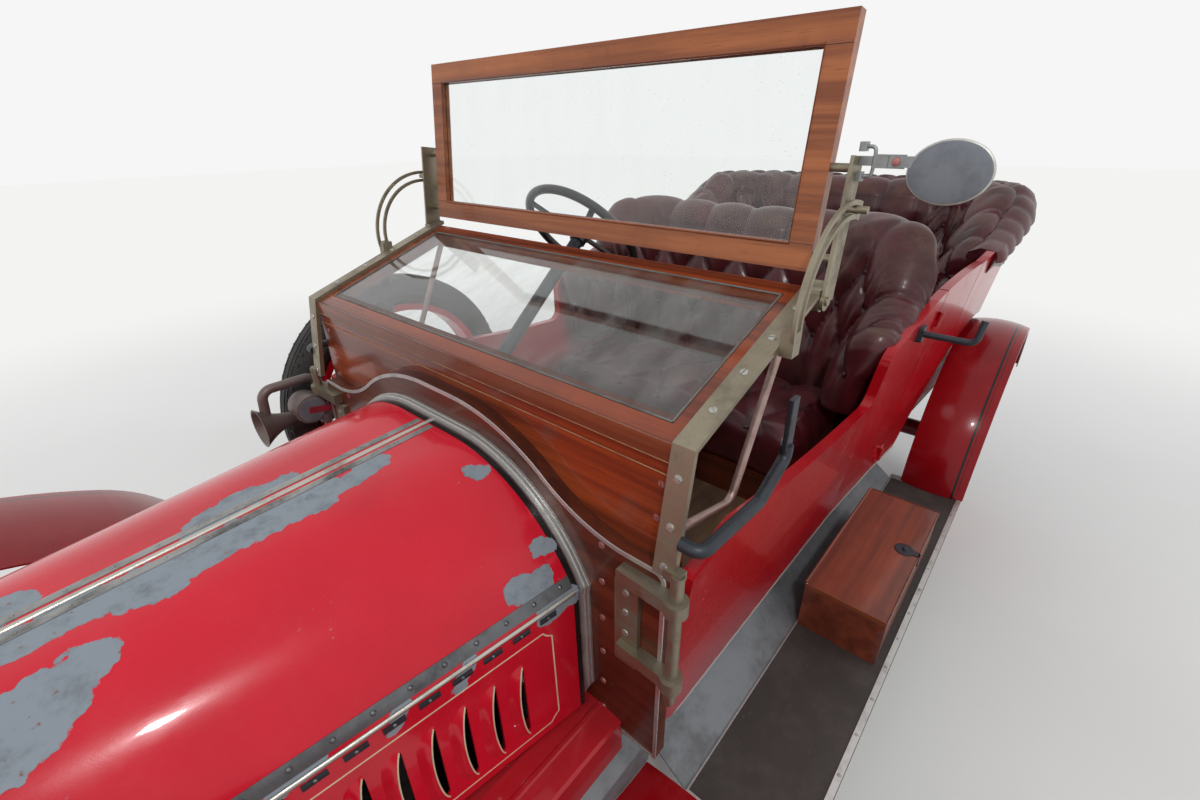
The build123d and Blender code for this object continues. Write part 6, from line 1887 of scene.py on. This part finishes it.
@dataclass
class Tyre:
    """A beaded-edge tyre with moulded ribs and bars, standing for its node."""

    name: str
    centre: Vector
    body: str
    radius: float = 0.4098
    width: float = 0.105
    bead: float = 0.305
    steps: int = 96
    bars: int = 72

    def build(self, scatter: Scatter) -> None:
        """Builds the tyre and its tread bars."""
        half = self.width / 2
        base = self.radius - 0.0042
        section = [
            (self.bead + 0.0006, 0.0335), (self.bead + 0.013, 0.034), (self.bead + 0.020, 0.0385),
            (0.330, 0.0470), (0.3460, 0.0512), (0.3475, 0.0524), (0.3525, 0.0524), (0.3540, 0.0515),
            (0.3680, 0.0500), (0.3840, 0.0450), (0.3945, 0.0385), (base - 0.0040, 0.0330),
            (base - 0.0015, 0.0255), (base + 0.0020, 0.0245), (base + 0.0024, 0.0190), (base, 0.0180),
            (base + 0.0006, 0.0105), (base + 0.0034, 0.0095),
            (base + 0.0038, 0.0),
        ]
        profile = section + [(r, -h) for r, h in section[-2::-1]]
        rings = [
            [self.centre + Vector((c, 0, s)) * r + LEFT * min(max(h, -half), half) for r, h in profile]
            for c, s in circle(self.steps)
        ]
        obj = piece("road_" + self.name, loft(rings, True), RUBBER, self.body)
        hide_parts(self.name)
        sites: list[Site] = []
        for pair in zip(circle(self.bars), circle(self.bars, 0.5)):
            for row, (c, s) in zip((-1, 1), pair):
                way = Vector((c, 0, s))
                at = self.centre + way * (base - 0.0028) + LEFT * (row * 0.0325)
                sites.append((at, (way + LEFT * (row * 0.32)).normalized(), LEFT))
        scatter.place("tread_" + self.name, sites, Head.TREAD, 0.0085, RUBBER, self.body)


@dataclass
class Wheels:
    """Wooden wheels with steel rims, brass caps and hub bolts, and the spare rim."""

    scatter: Scatter
    bolts: int = 6
    bolt_circle: float = 0.0440
    spare: Point = (0.270, -0.780, 0.8414)
    red: Finish = Enamel("wheel_enamel", RED, chips=0.8, gloss=0.22)

    def build(self) -> None:
        """Builds tyres, caps and bolts for the four wheels, and the spare's tyre."""
        for end, x in AXLES:
            for side, sign in SIDES:
                name, centre = f"{end}_{side}", Vector((x, sign * WHEEL_Y, WHEEL_Z))
                coat(self.red, "wheel_" + name)
                Tyre("tyre_" + name, centre, name + "_wheel").build(self.scatter)
                self.hub(name, centre, sign)
        coat(self.red, "spare_rim")
        Tyre("spare_tyre", Vector(self.spare), "car").build(self.scatter)

    def hub(self, name: str, centre: Vector, sign: int) -> None:
        """The brass cap and the hub's bolts of one wheel."""
        body = name + "_wheel"
        low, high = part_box("wheel_" + name)
        face = high.y if sign > 0 else low.y
        out = Vector((0, sign, 0))
        start = Vector((centre.x, face, centre.z))
        profile = (
            (0.0352, -0.024), (0.0352, -0.004), (0.0330, 0.0), (0.0270, 0.0012), (0.012, 0.0016),
            (0.0, 0.0017),
        )
        piece("hub_cap_" + name, bowl(start, out, profile, 8), BRIGHT_BRASS, body, smooth=False)
        turns = circle(self.bolts, 0.5)
        starts = [centre + Vector((c, 0, s)) * self.bolt_circle + out * 0.3 for c, s in turns]
        sites = Skin("wheel_" + name).sites(starts, -out, AHEAD, face=out)
        self.scatter.place("hub_bolts_" + name, sites, Head.HEX, 0.0060, STEEL, body)


@dataclass
class Body:
    """Doors, sides, wings and what runs along them."""

    scatter: Scatter
    coach_y: float = 0.826
    tray_x: tuple[float, float] = (0.640, 1.480)
    tray_y: tuple[float, float] = (0.152, 0.342)
    tray_z: float = 0.540
    spring_y: float = 0.370

    def build(self) -> None:
        """Dresses the painted panels."""
        side = Enamel("body_enamel", DEEP_RED, (0.32, 0.004, 0.008), chips=0.7, bare_below=0.586)
        lines = (Line(1, self.coach_y, 0.007, BLACK), Line(1, self.coach_y + 0.012, 0.0015, BLACK))
        wing = Enamel("wing_enamel", (0.28, 0.003, 0.007), (0.19, 0.002, 0.005), lines=lines, coat=0.10)
        under = Enamel("chassis_enamel", (0.30, 0.010, 0.014), (0.14, 0.008, 0.010), chips=1.0, gloss=0.34)
        rust = Metal("rusty_pipe", (0.14, 0.09, 0.07), (0.16, 0.06, 0.03), 0.8, 0.6, 0.5)
        coat(side, "body_sides", "body_rear", *both("door"))
        coat(wing, "front_wings", "rear_wings")
        coat(under, "front_axle", "rear_axle", *both("knuckle"), "track_rod", "chassis_frame", "board_irons")
        coat(STEEL, "leaf_springs")
        coat(FLOORWOOD, "floor_boards")
        coat(MAHOGANY, "seat_boxes")
        coat(IRON, "hood_irons")
        coat(rust, "exhaust")
        self.undershields()
        coat(ALLOY, "engine_block")
        self.spring_bolts()

    def undershields(self) -> None:
        """The sheets that close the space on each side of the engine, hung from the frame rails; their
        near-black colour is oil on the steel and also painted shade for what is seen through the louvres.
        """
        low, high = self.tray_y
        turned = ((high, 0.0), (low + 0.004, 0.0), (low, 0.003), (low, 0.03))
        shapes: list[Shape] = []
        for _, sign in SIDES:
            edge = [Vector((0, sign * y, self.tray_z + up)) for y, up in turned]
            edge += [p + Vector((0, sign * 0.0015, 0.0015)) for p in edge[::-1]]
            shapes.append(loft([[p + AHEAD * x for p in edge] for x in self.tray_x]))
        # Painted shade in part: the sheet's near-black colour is oily steel and also stands for the shade
        # inside the bonnet behind the louvres.
        sheet = Sheeting("oily_shade_sheet", (0.030, 0.028, 0.026), (0.012, 0.011, 0.010), 0.3, 0.0, 0.42)
        piece("undershields", joined(shapes), sheet, "car", smooth=False)

    def spring_bolts(self) -> None:
        """Nuts on the pads where the springs sit on the axles."""
        starts = [
            Vector((x + dx, sign * self.spring_y, 0.515))
            for _, x in AXLES for _, sign in SIDES for dx in (-0.045, 0.045)
        ]
        sites = Skin("leaf_springs").sites(starts, DOWN, AHEAD, face=UP)
        self.scatter.place("spring_nuts", sites, Head.HEX, 0.009, STEEL, "car")


@dataclass
class Boards:
    """Running boards with their strips, the ribbed aprons and the toolbox."""

    scatter: Scatter
    top: float = 0.431
    inner: tuple[float, float] = (0.6125, 0.6195)
    outer: tuple[float, float] = (0.843, 0.8572)
    ends: tuple[float, float] = (-0.9745, 0.5595)
    end_strip: float = 0.028
    hasp: Point = (-0.331, 0.786, 0.587)
    ledge_x: tuple[float, float] = (0.6005, 1.180)
    apron_x: tuple[float, float] = (0.5365, 0.860)

    def build(self) -> None:
        """Dresses the boards and the toolbox."""
        coat(COVER, "running_boards")
        coat(ZINC, "aprons")
        coat(BOXWOOD, "toolbox", "toolbox_lid")
        strips: list[Shape] = []
        sites: list[Site] = []
        (rear, front), wide = self.ends, self.end_strip
        middle = (self.inner[1], self.outer[0])
        under, over = self.top - 0.0004, self.top + 0.0022
        runs = (
            (rear, front, self.inner), (rear, front, self.outer), (rear, rear + wide, middle),
            (front - wide, front, middle),
        )
        for _, sign in SIDES:
            for start, end, span in runs:
                a, b = sorted(sign * y for y in span)
                strips.append(slab((start, a, under), (end, b, over), 0.001))
            ats = [Vector((x, sign * 0.850, over)) for x in evenly(rear + 0.03, 0.113, 14)]
            sites += [(at, UP, AHEAD) for at in ats]
        piece("board_strips", joined(strips), STRIP, "car", smooth=False)
        self.front_ledges()
        self.scatter.place("board_screws", sites, Head.SLOTTED, 0.0042, ZINC_SCREW, "car", math.pi, 9)
        self.toolbox()

    def front_ledges(self) -> None:
        """Ahead of the firewall: the red ledge under each bonnet side, and the apron's last length."""
        wing = Skin("front_wings")
        section = [
            (0.392, 0.6215), (0.430, 0.6215), (0.4335, 0.6235), (0.4405, 0.6235), (0.444, 0.6205),
            (0.486, 0.6165), (0.492, 0.6120), (0.494, 0.5300), (0.4925, 0.5300), (0.4905, 0.6105),
            (0.485, 0.6145), (0.392, 0.6198),
        ]
        red = Enamel("ledge_enamel", (0.40, 0.008, 0.016), (0.26, 0.012, 0.014), chips=1.0, gloss=0.3)
        for side, sign in SIDES:
            rings = [[Vector((x, sign * y, z)) for y, z in section] for x in between(*self.ledge_x, 24)]
            piece("front_ledge_" + side, loft(rings), red, "car", smooth=False)
            rings = []
            for x in between(*self.apron_x, 10):
                hit = wing.drop(Vector((x, sign * 0.5235, 0.9)), DOWN)
                foot = min(hit[0].z if hit else 0.434, 0.500)
                top = [(0.398, 0.6005), (0.5165, 0.5095), (0.5185, 0.5070), (0.5190, foot)]
                below = [(0.5165, foot), (0.5160, 0.5055), (0.5140, 0.5080), (0.398, 0.5975)]
                rings.append([Vector((x, sign * y, z)) for y, z in top + below])
            piece("front_apron_" + side, loft(rings), ZINC, "car", smooth=False)

    def toolbox(self) -> None:
        """The hasp plate, the lid's lipping and the box's corner joints."""
        x, y, z = self.hasp
        turned = ((0.026, -0.0006), (0.026, 0.0016), (0.024, 0.0024), (0.0, 0.0026))
        plate = bowl(Vector(self.hasp), UP, turned, 28)
        arm = slab((x - 0.011, y + 0.005, z), (x + 0.011, y + 0.0365, z + 0.0022), 0.004)
        turned = ((0.006, 0), (0.006, 0.004), (0.0045, 0.0055), (0.0, 0.006))
        knob = bowl(Vector((x, y, z + 0.002)), UP, turned, 14)
        hang = slab((x - 0.008, 0.8242, z - 0.034), (x + 0.008, 0.8268, z + 0.0016), 0.003)
        piece("hasp", joined((plate, arm, knob, hang)), IRON, "toolbox_lid", smooth=False)
        low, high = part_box("toolbox_lid")
        sunk, proud = 0.0005, 0.0014
        plans = (
            (low.x - sunk, high.y - sunk, high.x + sunk, high.y + proud),
            (high.x - sunk, low.y + 0.01, high.x + proud, high.y),
            (low.x - proud, low.y + 0.01, low.x + sunk, high.y),
        )
        rim = [slab((x0, y0, low.z + 0.003), (x1, y1, high.z - 0.003), 0.0005) for x0, y0, x1, y1 in plans]
        piece("lid_lipping", joined(rim), RAIL, "toolbox_lid", smooth=False)
        box_low, box_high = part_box("toolbox")
        cuts: list[Shape] = []
        deep, off = 0.012, 0.0002
        for k in range(9):
            for dz in (0.0, 0.0075):
                z = box_low.z + 0.006 + k * (box_high.z - box_low.z - 0.02) / 9 + dz
                a = Vector((box_high.x + off, box_high.y - deep, z))
                b = Vector((box_high.x - deep, box_high.y + off, z))
                cuts += [tube([a, a + LEFT * deep], 0.00045, 4), tube([b, b + AHEAD * deep], 0.00045, 4)]
        piece("box_joints", joined(cuts), IRON, "car", smooth=False)


@dataclass
class Fittings:
    """Horn, headlamps, radiator and steering gear."""

    scatter: Scatter
    lamp: tuple[float, float] = (0.336, 0.800)
    lens_radius: float = 0.108 * 0.84
    horn_disc: Point = (0.650, -0.590, 0.978)
    tag_lean: float = -12.0

    def build(self) -> None:
        """Dresses the fittings."""
        coat(BRONZE, "horn")
        coat(BRASS, "headlamps")
        coat(NICKEL, "radiator_shell")
        coat(CORE, "radiator_core")
        coat(BLACK_GLOSS, "steering_wheel")
        coat(IRON, "steering_column")
        for side, sign in SIDES:
            self.headlamp(side, sign)
        self.horn_plate()
        self.radiator()

    def headlamp(self, side: str, sign: int) -> None:
        """The lens of one lamp and the bead round it."""
        _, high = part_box("headlamps")
        y, z = self.lamp
        hit = Skin("headlamps").drop(Vector((high.x + 0.2, y * sign, z)), -AHEAD)
        middle = Vector((hit[0].x if hit else high.x, y * sign, z))
        radius = self.lens_radius
        rings = (
            (radius, 0.0002), (radius, 0.0016), (radius * 0.7, 0.0052), (radius * 0.3, 0.0072), (0.0, 0.0076),
        )
        piece("lamp_lens_" + side, bowl(middle, AHEAD, rings, 40), LAMP_GLASS, "car")
        loop = [middle + Vector((0.001, radius * c, radius * s)) for c, s in circle(48)]
        piece("lamp_bead_" + side, tube(loop, 0.0035, 8, True), BRIGHT_BRASS, "car")

    def horn_plate(self) -> None:
        """The horn's clamp drum on the pillar rod, with its grey face and bare red tag."""
        middle = Vector(self.horn_disc)
        drum = (
            (0.0, -0.070), (0.034, -0.070), (0.041, -0.064), (0.0425, -0.050), (0.0425, -0.006),
            (0.0405, -0.001), (0.038, 0.0), (0.0, 0.0),
        )
        piece("horn_drum", bowl(middle, LEFT, drum, 40), BRONZE, "car")
        cap = ((0.037, -0.0005), (0.0365, 0.0012), (0.030, 0.0022), (0.0, 0.0026))
        piece("horn_face", bowl(middle, LEFT, cap, 40), GREY_ENAMEL, "car")
        lean = Matrix.Rotation(math.radians(self.tag_lean), 3, "Y")
        verts, faces = slab((-0.052, 0.0022, -0.009), (0.010, 0.0040, 0.009), 0.0006)
        piece("horn_tag", ([middle + lean @ v for v in verts], faces), LABEL, "car", smooth=False)

    def radiator(self) -> None:
        """The bead round the radiator's core."""
        _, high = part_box("radiator_shell")
        inner = outline("radiator_shell", 0, high.x)[1]
        ring = [p + Vector((0.0006, 0, 0)) for p in inner]
        piece("core_bead", tube(ring, 0.0024, 6, True), STRIP, "car")


@dataclass
class Studio:
    """Floor, lamps, world and the camera of the photograph."""

    eye: Point = (1.127, 0.906, 1.679)
    yaw: float = 41.176
    pitch: float = 26.9
    roll: float = -0.718
    focal: float = 536.65
    photo_width: int = 1200
    floor_half: float = 30.0
    lamps: tuple[tuple[Point, Point, float, float], ...] = field(
        default=(
            ((1.9, 1.9, 3.4), (0.4, 0.1, 0.9), 0.16, 26.0),
            ((-1.0, 3.8, 3.0), (-0.4, 0.2, 0.8), 2.4, 44.0),
            ((0.6, -3.4, 3.4), (0.4, 0.0, 0.9), 2.6, 34.0),
            ((3.9, -0.6, 2.4), (0.6, 0.0, 0.8), 2.0, 26.0),
        )
    )

    def build(self) -> None:
        """Sets the studio up."""
        self.floor()
        self.world()
        for number, (place, aim, size, power) in enumerate(self.lamps):
            self.lamp(number, Vector(place), Vector(aim), size, power)
        self.camera()
        bpy.context.scene.view_settings.view_transform = "Standard"

    def floor(self) -> None:
        """A wide pale floor."""
        mesh = bpy.data.meshes.new("floor")
        half = self.floor_half
        corners = [(x * half, y * half, 0) for x, y in ((-1, -1), (1, -1), (1, 1), (-1, 1))]
        mesh.from_pydata(corners, [], [(0, 1, 2, 3)])
        graph = Graph(bpy.data.materials.new("studio_floor"))
        cloud = graph.noise(0.8, 5)
        colour = graph.mix(cloud.ramp(0.3, 0.7), (0.80, 0.785, 0.75), (0.76, 0.745, 0.71))
        lit = graph.surface(Base_Color=colour, Roughness=0.45 + cloud * 0.1)
        glow = graph.node("ShaderNodeEmission", values={"Color": (0.90, 0.90, 0.89, 1.0), "Strength": 1.0})
        away = graph.length(graph.place).ramp(1.2, 6.5)
        mixed = graph.node("ShaderNodeMixShader", values={0: away * graph.seen(), 1: lit, 2: glow})
        mesh.materials.append(graph.close(mixed))
        obj = linked("floor", mesh)

    def world(self) -> None:
        """Soft light, with a white background for the camera, metal and glass."""
        graph = Graph(bpy.data.worlds.new("studio"))
        soft, white = (
            graph.node("ShaderNodeBackground", values={"Color": colour, "Strength": strength})
            for colour, strength in (((0.80, 0.84, 0.90, 1), 0.62), ((1, 1, 1, 1), 0.92))
        )
        mixed = graph.node("ShaderNodeMixShader", values={0: graph.seen(), 1: soft, 2: white})
        bpy.context.scene.world = graph.close(mixed)

    def lamp(self, number: int, place: Vector, aim: Vector, size: float, power: float) -> None:
        """One soft lamp.

        Args:
            number: Its number.
            place: Where it is.
            aim: Where it points.
            size: Its width in metres.
            power: Its power in watts.
        """
        data = bpy.data.lights.new(f"lamp_{number}", "AREA")
        data.shape = "DISK"
        data.size = size
        data.energy = power
        obj = linked(f"lamp_{number}", data)
        obj.location = place
        obj.rotation_euler = (aim - place).to_track_quat("-Z", "Y").to_euler()
        if number:
            obj.visible_glossy = False
            obj.visible_transmission = False

    def camera(self) -> None:
        """The camera where the photographer stood."""
        yaw, pitch, roll = (math.radians(a) for a in (self.yaw, self.pitch, self.roll))
        ahead = Vector((-math.cos(yaw) * math.cos(pitch), -math.sin(yaw) * math.cos(pitch), -math.sin(pitch)))
        right = ahead.cross(UP).normalized()
        up = right.cross(ahead)
        across = right * math.cos(roll) + up * math.sin(roll)
        above = up * math.cos(roll) - right * math.sin(roll)
        data = bpy.data.cameras.new("photographer")
        data.sensor_width = 36.0
        data.lens = self.focal / self.photo_width * data.sensor_width
        data.clip_start = 0.02
        obj = linked("photographer", data)
        turn = Matrix((across, above, -ahead)).transposed().to_4x4()
        obj.matrix_world = Matrix.Translation(Vector(self.eye)) @ turn
        bpy.context.scene.camera = obj


def clear_startup() -> None:
    """Removes what a new file starts with."""
    for name in ("Cube", "Light", "Camera"):
        old = bpy.data.objects.get(name)
        if old is not None and old.name not in NODES:
            bpy.data.objects.remove(old)


def main() -> None:
    """Builds the car's sub-assemblies in order, and then the studio."""
    logging.basicConfig(level=logging.INFO, format="%(message)s")
    clear_startup()
    scatter = Scatter()
    kinds = (Bonnet, Firewall, Scuttle, Screen, Body, Boards, Wheels, Fittings, Seats)
    for part in (*(kind(scatter) for kind in kinds), Studio()):
        part.build()
        LOG.info("%s done", type(part).__name__)


if __name__ == "__main__":
    main()
